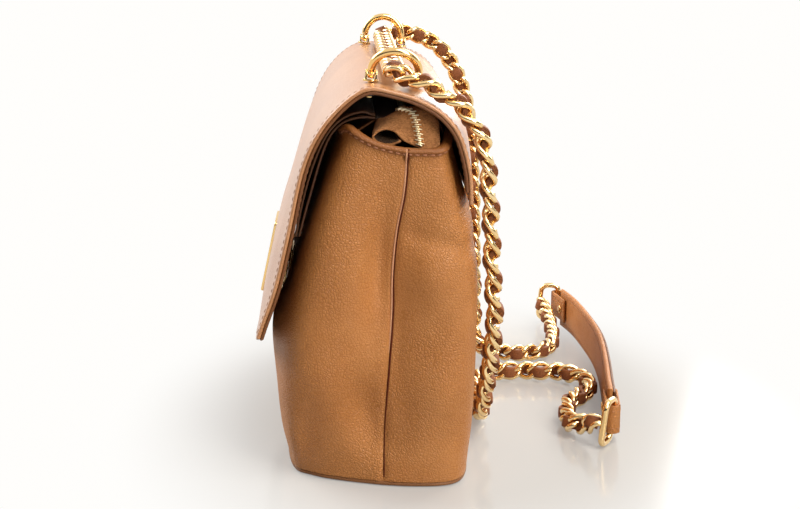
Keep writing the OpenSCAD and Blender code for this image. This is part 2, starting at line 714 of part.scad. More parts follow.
// Lowest line of the chain and its middle on the ground
chain_sides = 8;
near_route = [
    [106, 6, 211.5], [109.5, 6, 211.5], [113, 7, 211.5], [117, 10.5, 211], [120.5, 17, 209.3], [121.5, 25, 206.9],
    [121, 33, 203], [120.5, 40.5, 197.3], [120, 46.5, 189.5], [119.5, 50.8, 178.5],
    [118.5, 52.4, 166], [117, 53.2, 153], [115, 54.5, 140], [114, 55.2, 126.5], [112, 56, 113],
    [109.5, 57.2, 98], [104, 58.6, 81], [96, 58.6, 65], [86, 58.5, 50], [76, 58, 37], [64, 58, 24],
    [52, 58, 13], [38, 58, 7], [20, 57.8, 6.3], [2, 58, 6.3], [-14, 60, 6.3], [-26, 67, 6.3],
    [-32, 77, 6.3], [-33, 90, 6.3], [-31.5, 104, 6.3], [-29, 116, 6.3], [-20, 126, 6.3],
    [-8, 129.6, 6.3], [5, 128, 6.3], [15, 121, 6.3], [26, 113, 6.3], [41, 109, 6.3],
    [56, 107.5, 6.8], [67, 109, 8.5], [74, 115, 11], [79, 118.6, 13], [81.7, 120, 14]];
top_route = [
    [106, 6, 211.5], [100, 6, 211.5], [72, 6, 211], [36, 6, 211], [0, 6, 211], [-36, 6, 211], [-72, 6, 211],
    [-100, 6, 211.5], [-106, 6, 211.5]];
far_route = [
    [-106, 6, 211.5], [-109.5, 6, 211.5], [-113, 7, 212], [-117, 11, 212.8], [-121, 19, 212.6], [-123.5, 29, 210.6],
    [-125, 38, 206.6], [-125.5, 46, 200.5], [-125, 52.5, 191.5], [-124.5, 57.5, 181],
    [-122.5, 61.5, 168], [-120, 64, 153], [-117, 65.5, 136], [-113.5, 66, 118], [-109.5, 66.5, 100],
    [-105, 66.5, 82], [-100, 66.5, 64], [-94.5, 66.5, 47], [-88.5, 66.5, 31], [-83, 67, 17.5],
    [-78.5, 69, 9.5], [-75, 74, 6.5], [-71, 83, 6.3], [-68.5, 92, 6.3], [-69.5, 102, 6.3],
    [-75, 111.5, 6.3], [-86, 118.5, 6.5], [-101, 122, 7], [-118, 123.5, 8], [-136, 124, 10],
    [-150, 123.6, 12.5], [-161.2, 122.2, 14]];

function chain_ring(p, d) =
    let (f = d / norm(d),
        up = abs(f[2]) > 0.9 ? [1, 0, 0] : [0, 0, 1],
        side = cross(f, up) / norm(cross(f, up)),
        top = cross(side, f))
    [for (k = [0 : chain_sides - 1])
        let (a = 360 * (k + 0.5) / chain_sides)
        p + chain_w / 2 * (cos(a) * side - sin(a) * top)];
module chain(route) {
    skin_rings([for (i = [0 : len(route) - 1])
        chain_ring(route[i], route[min(len(route) - 1, i + 1)] - route[max(0, i - 1)])]);
}
module chain_near_run() color(gold) chain(near_route);
module chain_top_run() color(gold) chain(top_route);
module chain_far_run() color(gold) chain(far_route);

// Shoulder pad, standing on its long edge behind the bag
pad_route = [
    [62, 130.5], [39, 133.5], [16, 136.8], [-8, 140], [-36, 143], [-62, 144.2], [-90, 143.5],
    [-115, 142], [-132, 140], [-150, 136.5]];
function pad_side(from, to) = [for (i = [0 : len(pad_route) - 1])
    let (d = pad_route[min(len(pad_route) - 1, i + 1)] - pad_route[max(0, i - 1)],
        n = turn_left(d))
    [pad_route[i] - from * n, pad_route[i] - to * n]];
// Frames of the two ends: x out along the pad, z up from its middle height
near_end = pad_route[0];
far_end = pad_route[len(pad_route) - 1];
near_turn = atan2(near_end[1] - pad_route[1][1], near_end[0] - pad_route[1][0]);
far_turn = atan2(far_end[1] - pad_route[len(pad_route) - 2][1],
    far_end[0] - pad_route[len(pad_route) - 2][0]);
module pad_frames() {
    translate([near_end[0], near_end[1], ring_mid]) rotate([0, 0, near_turn]) children();
    translate([far_end[0], far_end[1], ring_mid]) rotate([0, 0, far_turn]) children();
}
ring_mid = ring_h / 2 + fit;
loop_t = 1.6;
loop_h = 16.6;
loop_out = 16;
loop_lap = 13;
rivet_in = 6;
rivet_r = 1.25;
rivet_head_r = 2.6;
rivet_head_t = 1;
loop_half = pad_t + 1.5 * fit;
module rivet_holes() {
    pad_frames() translate([-rivet_in, 0, 0]) rotate([90, 0, 0])
        cylinder(r = rivet_r + fit / 2, h = 4 * loop_half, center = true);
}
module pad_leaf(from, to) {
    pairs = pad_side(from, to);
    difference() {
        translate([0, 0, fit]) linear_extrude(pad_h) polygon(concat(
            [for (p = pairs) p[0]], [for (i = [len(pairs) - 1 : -1 : 0]) pairs[i][1]]));
        rivet_holes();
    }
}
module pad_outer() color(leather) pad_leaf(-fit / 2, -pad_t - fit / 2);
module pad_lining() color(dark_leather) pad_leaf(pad_t + fit / 2, fit / 2);
// Leather folded through the ring and riveted over each end of the pad
module pad_loops() color(leather) difference() {
    pad_frames() translate([0, 0, -loop_h / 2]) linear_extrude(loop_h) difference() {
        union() {
            translate([-loop_lap, -loop_half - loop_t])
                square([loop_lap + loop_out - loop_half - loop_t, 2 * (loop_half + loop_t)]);
            translate([loop_out - loop_half - loop_t, 0]) circle(r = loop_half + loop_t);
        }
        translate([-loop_lap - over, -loop_half])
            square([loop_lap + over + loop_out - loop_half - loop_t, 2 * loop_half]);
        translate([loop_out - loop_half - loop_t, 0]) circle(r = loop_half);
    }
    rivet_holes();
}
module pad_rivets() color(gold) pad_frames() translate([-rivet_in, 0, 0]) rotate([90, 0, 0]) {
    cylinder(r = rivet_r, h = 2 * (loop_half + loop_t), center = true);
    for (side = [-1, 1]) translate([0, 0, side * (loop_half + loop_t + rivet_head_t / 2)])
        cylinder(r = rivet_head_r, h = rivet_head_t, center = true);
}

// Rings: rounded oblongs of round wire, one side in the fold of the pad's loop
ring_reach = 12.4;
ring_corner = 4.5;
limb_out = loop_out - loop_t - ring_wire / 2 - fit;
ring_near_turn = -34;
ring_far_turn = 262;
// Ring in its own plane, with the side in the fold on the z axis
module ring() {
    h = ring_h - ring_wire;
    rotate([90, 0, 0]) translate([ring_reach / 2, 0, 0]) {
        for (side = [-1, 1]) {
            translate([side * ring_reach / 2, 0, 0]) rotate([90, 0, 0])
                cylinder(d = ring_wire, h = h - 2 * ring_corner, center = true);
            translate([0, side * h / 2, 0]) rotate([0, 90, 0])
                cylinder(d = ring_wire, h = ring_reach - 2 * ring_corner, center = true);
        }
        for (quarter = [0 : 3]) {
            sx = quarter == 0 || quarter == 3 ? 1 : -1;
            sy = quarter < 2 ? 1 : -1;
            translate([sx * (ring_reach / 2 - ring_corner), sy * (h / 2 - ring_corner), 0])
                rotate([0, 0, 90 * quarter]) rotate_extrude(angle = 90)
                    translate([ring_corner, 0]) circle(d = ring_wire);
        }
    }
}
module strap_ring_near() color(gold)
    translate([near_end[0], near_end[1], ring_mid]) rotate([0, 0, near_turn])
        translate([limb_out, 0, 0]) rotate([0, 0, ring_near_turn - near_turn]) ring();
module strap_ring_far() color(gold)
    translate([far_end[0], far_end[1], ring_mid]) rotate([0, 0, far_turn])
        translate([limb_out, 0, 0]) rotate([0, 0, ring_far_turn - far_turn]) ring();

front_panel();
back_panel();
base_panel();
base_board();
lining();
end_welts();
rim_band_front();
rim_band_back();
zip_facing_front();
zip_facing_back();
pocket_front_ply();
pocket_back_ply();
zip_tape_front();
zip_tape_back();
zip_teeth();
zip_tails();
zip_slider();
zip_puller();
flap_top_outer();
flap_top_lining();
flap_front_outer();
flap_front_lining();
arch_seats();
arch_pins();
arch_screws();
arch_backings();
arch_near();
arch_far();
lock_base_plate();
lock_front_plate();
lock_block();
lock_spacer();
lock_bolt();
lock_backing();
lock_screws();
flap_plate_outer();
flap_plate_inner();
lock_stud();
flap_plate_screws();
chain_near_run();
chain_top_run();
chain_far_run();
strap_ring_near();
strap_ring_far();
pad_outer();
pad_lining();
pad_loops();
pad_rivets();
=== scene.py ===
import bmesh
import bpy
import numpy as np
from mathutils import Matrix


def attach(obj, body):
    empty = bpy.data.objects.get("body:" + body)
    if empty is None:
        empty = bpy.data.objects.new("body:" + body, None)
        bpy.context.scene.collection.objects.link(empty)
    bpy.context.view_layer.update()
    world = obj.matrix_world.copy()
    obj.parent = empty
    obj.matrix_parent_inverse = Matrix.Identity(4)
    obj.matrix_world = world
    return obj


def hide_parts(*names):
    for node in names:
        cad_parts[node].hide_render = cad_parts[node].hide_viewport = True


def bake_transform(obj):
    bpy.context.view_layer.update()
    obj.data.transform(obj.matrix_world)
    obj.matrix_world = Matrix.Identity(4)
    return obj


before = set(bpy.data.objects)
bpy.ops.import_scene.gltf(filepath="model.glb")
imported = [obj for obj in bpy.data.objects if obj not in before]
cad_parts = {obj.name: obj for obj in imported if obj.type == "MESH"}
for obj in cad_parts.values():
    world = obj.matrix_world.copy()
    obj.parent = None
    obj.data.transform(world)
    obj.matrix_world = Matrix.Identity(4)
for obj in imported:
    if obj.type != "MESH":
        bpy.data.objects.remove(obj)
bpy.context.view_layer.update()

mm = 0.001


# numbers and curves

# smooth curve through equal steps of a table, t from 0 to 1
def readTable(table, t):
    table = np.asarray(table, float)
    last = len(table) - 1
    s = np.clip(np.asarray(t, float), 0, 1) * last
    i = np.clip(np.floor(s).astype(int), 0, last - 1)
    f = s - i
    if table.ndim > 1:
        f = f[..., None]
    a = table[np.clip(i - 1, 0, last)]
    b, c = table[i], table[i + 1]
    d = table[np.clip(i + 2, 0, last)]
    return b + 0.5 * f * (c - a + f * (2 * a - 5 * b + 4 * c - d + f * (3 * (b - c) + d - a)))


def unit(v):
    return v / np.maximum(np.linalg.norm(v, axis=-1, keepdims=True), 1e-12)


# directions turned square to a line's own
def squareTo(side, along):
    return unit(side - (side * along).sum(-1, keepdims=True) * along)


# where x lies between a and b: 0 at a and below, 1 at b and above
def shareOf(x, a, b):
    return np.clip((np.asarray(x, float) - a) / (b - a), 0, 1)


# the same with a soft start and a soft end
def ease(x, a, b):
    t = shareOf(x, a, b)
    return t * t * (3 - 2 * t)


# 1 at the middle, falling away evenly on both sides
def hump(x, middle, width):
    return np.exp(-((np.asarray(x, float) - middle) / width) ** 2)


# length run at each point of a line, and a table read at lengths run
def runAlong(points):
    return np.concatenate([[0], np.cumsum(np.linalg.norm(np.diff(points, axis=0), axis=1))])


def readAt(s, run, table):
    return np.stack([np.interp(s, run, table[:, k]) for k in range(table.shape[1])], -1)


# slow soft ripples: a sum of seeded sine waves of two coordinates
def ripples(a, b, seed, wave, count=7):
    rng = np.random.default_rng(seed)
    total = np.zeros(np.broadcast(a, b).shape)
    for _ in range(count):
        turn, phase, scale = rng.uniform(0, 6.283, 2).tolist() + [rng.uniform(0.7, 1.6)]
        total += np.sin((a * np.cos(turn) + b * np.sin(turn)) * 6.283 * scale / wave + phase)
    return total / count


# a path made dense, with equal steps of length
def densePath(points, step):
    points = np.asarray(points, float)
    fine = readTable(points, np.linspace(0, 1, 40 * len(points)))
    run = runAlong(fine)
    s = np.linspace(0, run[-1], max(2, int(round(run[-1] / step)) + 1))
    return readAt(s, run, fine), s


def tangents(points, closed=False):
    if closed:
        return unit(np.roll(points, -1, 0) - np.roll(points, 1, 0))
    return unit(np.gradient(points, axis=0))


# meshes

def gridFaces(rows, cols, wrapRows=False, wrapCols=False, start=0, flip=False):
    i = np.arange(rows if wrapRows else rows - 1)[:, None]
    j = np.arange(cols if wrapCols else cols - 1)[None, :]
    a = i * cols + j
    b = i * cols + (j + 1) % cols
    c = ((i + 1) % rows) * cols + (j + 1) % cols
    d = ((i + 1) % rows) * cols + j
    order = (a, d, c, b) if flip else (a, b, c, d)
    return np.stack([x.reshape(-1) for x in order], 1) + start


# several (points, faces) put together as one
def joined(parts):
    points, faces, start = [], [], 0
    for p, f in parts:
        p = np.asarray(p, float).reshape(-1, 3)
        points.append(p)
        faces += [[int(k) + start for k in face] for face in f]
        start += len(p)
    return np.concatenate(points), faces


# every shape in shapes (n, k, 3) with the same faces
def repeated(shapes, faces):
    count, size = shapes.shape[0], shapes.shape[1]
    faces = np.asarray(faces)
    every = (faces[None] + (np.arange(count) * size)[:, None, None]).reshape(-1, faces.shape[1])
    return shapes.reshape(-1, 3), every


def addObject(name, data):
    made = bpy.data.objects.new(name, data)
    bpy.context.scene.collection.objects.link(made)
    return made


# an object set at a place, with the directions of its right, its top and its back
def setPlace(made, right, up, back, place):
    made.matrix_world = Matrix([*[(right[k], up[k], back[k], place[k]) for k in range(3)], (0, 0, 0, 1)])


# a mesh piece from points in millimetres, with its body and the nodes it stands for
def makePiece(name, points, faces, material, slotName, body=None, stands=(), merge=0.0):
    mesh = bpy.data.meshes.new(name)
    points = np.asarray(points, float).reshape(-1, 3) * mm
    faces = faces.tolist() if isinstance(faces, np.ndarray) else faces
    mesh.from_pydata(points.tolist(), [], faces)
    work = bmesh.new()
    work.from_mesh(mesh)
    if merge:
        bmesh.ops.remove_doubles(work, verts=work.verts, dist=merge)
        bmesh.ops.dissolve_degenerate(work, edges=work.edges, dist=merge)
    bmesh.ops.recalc_face_normals(work, faces=work.faces)
    work.to_mesh(mesh)
    work.free()
    mesh.validate()
    mesh.polygons.foreach_set("use_smooth", [True] * len(mesh.polygons))
    mesh.materials.append(material)
    return linkPiece(name, mesh, body, stands)


def linkPiece(name, mesh, body, stands):
    piece = addObject(name, mesh)
    if body:
        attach(piece, body)
    if stands:
        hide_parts(*stands)
    return piece


# a profile (k, 2) carried along a path with its side and normal directions
def sweepPoints(path, side, normal, profile):
    profile = np.asarray(profile, float)
    return path[:, None] + side[:, None] * profile[None, :, 0:1] + normal[:, None] * profile[None, :, 1:2]


# faces of a closed tube of rings, with a flat face at each end
def capFans(rings):
    rows, cols = rings.shape[:2]
    faces = gridFaces(rows, cols, wrapCols=True).tolist()
    faces.append(list(range(cols))[::-1])
    faces.append([(rows - 1) * cols + k for k in range(cols)])
    return faces


def circle(radius, steps):
    w = np.linspace(0, 2 * np.pi, steps, endpoint=False)
    return radius * np.stack([np.cos(w), np.sin(w)], 1)


# outline of an oblong with rounded corners
def roundProfile(width, height, corner, steps):
    corner = min(corner, width / 2, height / 2)
    out = []
    for k, (sx, sy) in enumerate([(1, 1), (-1, 1), (-1, -1), (1, -1)]):
        turn = np.radians(np.linspace(0, 90, steps + 1) + 90 * k)
        middle = np.array([sx * (width / 2 - corner), sy * (height / 2 - corner)])
        out.append(middle + corner * np.stack([np.cos(turn), np.sin(turn)], 1))
    return np.concatenate(out)


# materials

class Wire:
    def __init__(self, net, socket):
        self.net, self.socket = net, socket

    def __add__(self, other):
        return self.net.calc("ADD", self, other)

    def __mul__(self, other):
        return self.net.calc("MULTIPLY", self, other)

    def __rsub__(self, other):
        return self.net.calc("SUBTRACT", other, self)

    __radd__ = __add__
    __rmul__ = __mul__


class Net:
    def __init__(self, name, tree=None):
        self.material = None
        if tree is None:
            self.material = bpy.data.materials.new(name)
            self.material.use_nodes = True
            tree = self.material.node_tree
        self.tree = tree
        tree.nodes.clear()

    def node(self, kind, settings=(), sockets=(), out=0):
        made = self.tree.nodes.new("ShaderNode" + kind)
        for key, value in dict(settings).items():
            setattr(made, key, value)
        for key, value in dict(sockets).items():
            port = made.inputs[key]
            if isinstance(value, Wire):
                self.tree.links.new(value.socket, port)
            else:
                port.default_value = value
        return Wire(self, made.outputs[out]) if len(made.outputs) else None

    def calc(self, operation, first, second=0.5):
        return self.node("Math", {"operation": operation}, {0: first, 1: second})

    def slope(self, value, a, b):
        return self.node("MapRange", {"interpolation_type": "SMOOTHSTEP"},
                         {0: value, 1: a, 2: b, 3: 0.0, 4: 1.0})

    def vector(self, operation, first, second, out=0):
        return self.node("VectorMath", {"operation": operation}, {0: first, 1: second}, out)

    def stretch(self, place, scale):
        return self.node("Mapping", {}, {"Vector": place, "Scale": scale})

    def tint(self, share, first, second):
        first = first if isinstance(first, Wire) else (*first, 1)
        second = second if isinstance(second, Wire) else (*second, 1)
        return self.node("Mix", {"data_type": "RGBA"}, {0: share, 6: first, 7: second}, 2)

    def noise(self, place, scale, detail=2.0, rough=0.5, out=0):
        return self.node("TexNoise", {}, {"Vector": place, "Scale": scale, "Detail": detail,
                                          "Roughness": rough}, out)

    def cells(self, place, scale):
        return self.node("TexVoronoi", {"feature": "DISTANCE_TO_EDGE"}, {"Vector": place, "Scale": scale},
                         "Distance")

    def place(self):
        return self.node("TexCoord", {}, {}, "Object")

    def bent(self, place, scale, amount):
        push = self.vector("SUBTRACT", self.noise(place, scale, 2.0, 0.5, 1), (0.5, 0.5, 0.5))
        return self.vector("ADD", place, self.vector("MULTIPLY", push, (amount, amount, amount)))

    def finish(self, sockets, height, strength, distance):
        bump = self.node("Bump", {}, {"Strength": strength, "Distance": distance, "Height": height})
        shader = self.node("BsdfPrincipled", {}, {**sockets, "Normal": bump})
        self.node("OutputMaterial", {}, {"Surface": shader})
        return self.material


grainLook = {
    "tone": (0.43, 0.163, 0.036), "deep": (0.24, 0.072, 0.011), "pale": (0.53, 0.225, 0.064),
    "size": 1.55, "relief": 0.65, "gloss": 0.43, "groove": 0.15, "creasePaintedShade": 0.42, "shine": 0.45,
    "coat": 0.0, "coatGloss": 0.3, "bend": 0.0006, "bumpDepth": 0.0004,
}


# pebbled leather: rounded cells of two sizes with creases between them, fuller in
# some places than in others, darker in broad soft clouds, and darker in the creases as painted shade
def pebbledLeather(name, look):
    net = Net(name)
    place = net.place()
    wide = net.cells(net.bent(place, 200.0, look["bend"]), 1000 / look["size"])
    fine = net.cells(net.bent(place, 400.0, look["bend"]), 2100 / look["size"])
    cloud = net.noise(place, 16.0, 3.0, 0.55)
    fullness = net.slope(cloud, 0.34, 0.62)
    pebble = net.slope(wide, 0.0, 0.24)
    small = net.slope(fine, 0.0, 0.28)
    pores = net.noise(place, 2600.0, 2.0, 0.6)
    crease = net.slope(wide, 0.0, look["groove"])
    # painted shade: the colour darkens towards the deep tone in the creases
    tone = net.tint((1 - crease) * look["creasePaintedShade"], look["tone"], look["deep"])
    tone = net.tint(net.slope(net.noise(place, 24.0, 3.0, 0.6), 0.35, 0.75) * 0.55, tone, look["pale"])
    tone = net.tint(net.slope(net.noise(place, 9.0, 2.0, 0.5), 0.45, 0.8) * 0.25, tone, look["deep"])
    height = pebble * (0.5 + fullness * 0.6) + small * 0.1 + pores * 0.06
    rough = look["gloss"] + (1 - crease) * 0.2 + pores * 0.08
    return net.finish({"Base Color": tone, "Roughness": rough, "Specular IOR Level": look["shine"],
                       "Coat Weight": look["coat"], "Coat Roughness": look["coatGloss"]},
                      height, look["relief"], look["bumpDepth"])


# smooth leather: hair-fine wrinkles and pores under soft clouds of two tones
def smoothLeather(name, tone, deep, gloss, relief=0.25, shine=0.35):
    net = Net(name)
    place = net.place()
    wrinkle = net.cells(net.bent(place, 300.0, 0.002), 900.0)
    cloud = net.noise(place, 30.0, 4.0, 0.6)
    pores = net.noise(place, 2200.0, 3.0, 0.6)
    colour = net.tint(net.slope(wrinkle, 0.0, 0.12) * 0.6 + net.slope(cloud, 0.3, 0.7) * 0.4, deep, tone)
    height = net.slope(wrinkle, 0.0, 0.2) * 0.5 + pores * 0.35
    return net.finish({"Base Color": colour, "Roughness": gloss + pores * 0.12, "Specular IOR Level": shine},
                      height, relief, 0.0003)


# suede: a short brushed nap, matt, with a faint sheen
def suede(name, tone, deep):
    net = Net(name)
    place = net.place()
    nap = net.noise(net.stretch(place, (1.0, 0.45, 1.0)), 1500.0, 5.0, 0.75)
    brushed = net.noise(place, 240.0, 4.0, 0.65)
    colour = net.tint(net.slope(nap, 0.3, 0.7), deep, tone)
    colour = net.tint(net.slope(brushed, 0.35, 0.7) * 0.5, colour, tone)
    return net.finish({"Base Color": colour, "Roughness": 0.85 + nap * 0.12, "Sheen Weight": 0.2,
                       "Specular IOR Level": 0.1, "Sheen Roughness": 0.4, "Sheen Tint": (0.8, 0.5, 0.3, 1)},
                      nap * 0.8 + brushed * 0.7, 1.0, 0.0009)


# plain weave: two crossed rows of threads, one over and one under by turns
def wovenCloth(name, tone, deep, pitch, axes=(0, 1)):
    net = Net(name)
    made = net.node("SeparateXYZ", {}, {0: net.place()}).socket.node
    a = Wire(net, made.outputs[axes[0]]) * (6283.2 / pitch)
    b = Wire(net, made.outputs[axes[1]]) * (6283.2 / pitch)
    weave = net.calc("SINE", a) * net.calc("SINE", b)
    ribs = net.calc("ABSOLUTE", net.calc("SINE", a * 0.5)) + net.calc("ABSOLUTE", net.calc("SINE", b * 0.5))
    height = ribs * 0.4 + weave * 0.2
    fuzz = net.noise(net.place(), 900.0, 3.0, 0.6)
    colour = net.tint(net.slope(height, 0.1, 0.9) * 0.7 + fuzz * 0.3, deep, tone)
    return net.finish({"Base Color": colour, "Roughness": 0.8 + fuzz * 0.1, "Sheen Weight": 0.15},
                      height, 0.5, 0.0003)


# plated metal: fine rubbing marks in the gloss, and slightly warmer clouds
def platedMetal(name, tone, warm, gloss, relief=0.05):
    net = Net(name)
    wear = 0.12
    place = net.place()
    cloud = net.noise(place, 60.0, 3.0, 0.5)
    rub = net.noise(net.stretch(place, (1.0, 1.0, 6.0)), 900.0, 3.0, 0.7)
    colour = net.tint(net.slope(cloud, 0.3, 0.7), tone, warm)
    rough = gloss + net.slope(rub, 0.45, 0.75) * wear
    return net.finish({"Base Color": colour, "Metallic": 1.0, "Roughness": rough},
                      rub * 0.5 + cloud * 0.5, relief, 0.0002)


# thread: fine slanting plies
def threadLook(name, tone, deep):
    net = Net(name)
    place = net.place()
    ply = net.node("TexWave", {"bands_direction": "DIAGONAL"},
                   {"Vector": place, "Scale": 900.0, "Distortion": 1.0}, 1)
    colour = net.tint(ply * 0.7, deep, tone)
    return net.finish({"Base Color": colour, "Roughness": 0.6}, ply, 0.3, 0.0002)


# painted edge of leather: matt and nearly even
def paintedEdge(name, tone, deep):
    net = Net(name)
    place = net.place()
    grain = net.noise(place, 700.0, 3.0, 0.6)
    colour = net.tint(grain, deep, tone)
    return net.finish({"Base Color": colour, "Roughness": 0.6 + grain * 0.15, "Specular IOR Level": 0.08},
                      grain, 0.15, 0.0003)


camel = pebbledLeather("CamelPebbledLeather", grainLook)
# the flap's leather: the same camel with a paler tone as painted light on its lit top and side, with more
# gloss and a coat
flapLitCamel = pebbledLeather("FlapPaintedLightLeather", {
    **grainLook, "tone": (0.45, 0.185, 0.056), "deep": (0.28, 0.095, 0.022), "pale": (0.54, 0.25, 0.09),
    "gloss": 0.36, "shine": 0.75, "relief": 0.45, "creasePaintedShade": 0.4, "coat": 0.7})
# the rim bands' leather: the same camel darkened as painted shade where the flap shades the rim
rimShadedCamel = pebbledLeather("RimBandPaintedShadeLeather", {
    **grainLook, "tone": (0.27, 0.09, 0.016), "deep": (0.15, 0.042, 0.006), "pale": (0.34, 0.13, 0.03),
    "relief": 0.4})
padLeather = pebbledLeather("PadPebbledLeather", {**grainLook, "size": 1.3, "relief": 0.3})
padInnerLeather = smoothLeather("PadInnerLeather", (0.125, 0.04, 0.008), (0.08, 0.023, 0.004), 0.5)
# the pocket plies' leather, darkened nearly black as painted shade under the flap
shadedPly = smoothLeather("PocketPlyPaintedShadeLeather", (0.09, 0.034, 0.011), (0.04, 0.014, 0.005), 0.5)
paleSeam = smoothLeather("SeamEdgeLeather", (0.62, 0.31, 0.17), (0.44, 0.19, 0.09), 0.5)
brownLining = smoothLeather("BrownFlapLining", (0.19, 0.068, 0.019), (0.11, 0.035, 0.009), 0.42)
laceLeather = smoothLeather("ChainLaceLeather", (0.28, 0.10, 0.038), (0.11, 0.032, 0.011), 0.42, 0.2, 0.15)
# the base's smooth leather, darker than the camel as painted shade on the strip turned under the bag
baseShadedLeather = smoothLeather("BasePaintedShadeLeather", (0.27, 0.115, 0.04), (0.17, 0.065, 0.022), 0.45)
tailSuede = suede("ZipTailSuede", (0.62, 0.28, 0.105), (0.23, 0.085, 0.03))
# a nearly black suede, painted shade for the inside of the tails' rolled edges
tailShade = suede("ZipTailPaintedShadeSuede", (0.02, 0.008, 0.003), (0.008, 0.003, 0.001))
tapeCloth = wovenCloth("ZipTapeWeave", (0.22, 0.1, 0.045), (0.1, 0.04, 0.018), 0.5)
liningCloth = wovenCloth("LiningWeave", (0.30, 0.2, 0.12), (0.17, 0.1, 0.055), 0.4, (0, 2))
boardStock = smoothLeather("BondedBoard", (0.4, 0.33, 0.25), (0.28, 0.22, 0.16), 0.8)
gold = platedMetal("PolishedGoldPlate", (0.90, 0.62, 0.27), (0.86, 0.54, 0.20), 0.12)
chainGold = platedMetal("ChainGoldPlate", (0.93, 0.70, 0.37), (0.88, 0.61, 0.28), 0.15)
# the zip teeth's gold, paler than the other gold as painted light on teeth in the tails' shade, and rougher
toothLitGold = platedMetal("ZipToothPaintedLightGold", (1.0, 0.90, 0.64), (0.97, 0.84, 0.54), 0.42)
lockGold = platedMetal("LockGoldPlate", (0.88, 0.62, 0.30), (0.84, 0.55, 0.22), 0.2, 0.08)
# steel darkened nearly black as painted shade, so the backings sink into the shade under the flap
steel = platedMetal("SteelDarkenedAsShade", (0.10, 0.09, 0.085), (0.06, 0.055, 0.05), 0.5, 0.2)
seamThread = threadLook("SeamThread", (0.46, 0.215, 0.095), (0.30, 0.13, 0.055))
rimThread = threadLook("RimThread", (0.62, 0.29, 0.16), (0.38, 0.15, 0.07))
# nearly black and matt: painted shade for the end seams' grooves
darkSeam = paintedEdge("SeamShadowEdge", (0.12, 0.026, 0.010), (0.06, 0.012, 0.005))
print("materials ready")


# camera

photoView = {
    "place": (0.778, -0.018, 0.284), "farPoint": (344.0, -80.0), "focal": 1350.0, "frame": (800.0, 509.0),
    "sensor": 36.0,
}


# a level camera in which lines along the bag meet at the far point, in pixels
def aimCamera(view):
    width, height = view["frame"]
    d = np.array([(view["farPoint"][0] - width / 2) / view["focal"],
                  (height / 2 - view["farPoint"][1]) / view["focal"], 1.0])
    d = d / np.linalg.norm(d)
    yaw = -np.arcsin(d[0])
    pitch = np.arcsin(d[1] / np.cos(yaw))
    back = (np.cos(yaw) * np.cos(pitch), -np.sin(yaw) * np.cos(pitch), np.sin(pitch))
    right = (np.sin(yaw), np.cos(yaw), 0.0)
    up = (-np.cos(yaw) * np.sin(pitch), np.sin(yaw) * np.sin(pitch), np.cos(pitch))
    data = bpy.data.cameras.new("PhotoCamera")
    data.sensor_width = view["sensor"]
    data.lens = view["focal"] * view["sensor"] / width
    data.clip_start, data.clip_end = 0.01, 60.0
    camera = addObject("PhotoCamera", data)
    setPlace(camera, right, up, back, view["place"])
    bpy.context.scene.camera = camera


aimCamera(photoView)
print("camera placed")


# strap: laced chain, rings and shoulder pad

nearRoute = [
    [106, 6, 211.5], [109.5, 6, 211.5], [113, 7, 211.5], [117, 10.5, 210.4], [120.5, 17, 207.8],
    [121.5, 25, 204.6], [121, 32, 200.2], [120.5, 38.8, 194.8], [120, 44.6, 187.6], [119.5, 49.6, 177.6],
    [118.5, 52.0, 166], [117, 53.2, 153], [115, 54.5, 140], [114, 55.2, 126.5], [112, 56, 113],
    [109.5, 57.2, 98], [104, 58.6, 81], [96, 58.6, 65], [86, 58.5, 50], [76, 58, 37], [64, 58, 24],
    [52, 58, 13], [38, 58, 7], [20, 57.8, 6.3], [2, 58, 6.3], [-14, 60, 6.3], [-26, 67, 6.3],
    [-32, 77, 6.3], [-33, 90, 6.3], [-31.5, 104, 6.3], [-29, 116, 6.3], [-20, 126, 6.3],
    [-8, 129.6, 6.3], [5, 128, 6.3], [15, 121, 6.3], [26, 113, 6.3], [41, 109, 6.3],
    [56, 107.5, 6.8], [67, 109, 8.5], [74, 115, 11], [79, 118.6, 13], [81.7, 120, 14]]
topRoute = [
    [106, 6, 211.5], [100, 6, 211.5], [72, 6, 211], [36, 6, 211], [0, 6, 211], [-36, 6, 211], [-72, 6, 211],
    [-100, 6, 211.5], [-106, 6, 211.5]]
farRoute = [
    [-106, 6, 211.5], [-109.5, 6, 211.5], [-113, 7, 212], [-117, 11, 212.8], [-121, 19, 212.6],
    [-123.5, 29, 210.6], [-125, 38, 206.6], [-125.5, 46, 200.5], [-125, 52.5, 191.5], [-124.5, 57.5, 181],
    [-122.5, 61.5, 168], [-120, 64, 153], [-117, 65.5, 136], [-113.5, 66, 118], [-109.5, 66.5, 100],
    [-105, 66.5, 82], [-100, 66.5, 64], [-94.5, 66.5, 47], [-88.5, 66.5, 31], [-83, 67, 17.5],
    [-78.5, 69, 9.5], [-75, 74, 6.5], [-71, 83, 6.3], [-68.5, 92, 6.3], [-69.5, 102, 6.3],
    [-75, 111.5, 6.3], [-86, 118.5, 6.5], [-101, 122, 7], [-118, 123.5, 8], [-136, 124, 10],
    [-150, 123.6, 12.5], [-161.2, 122.2, 14]]
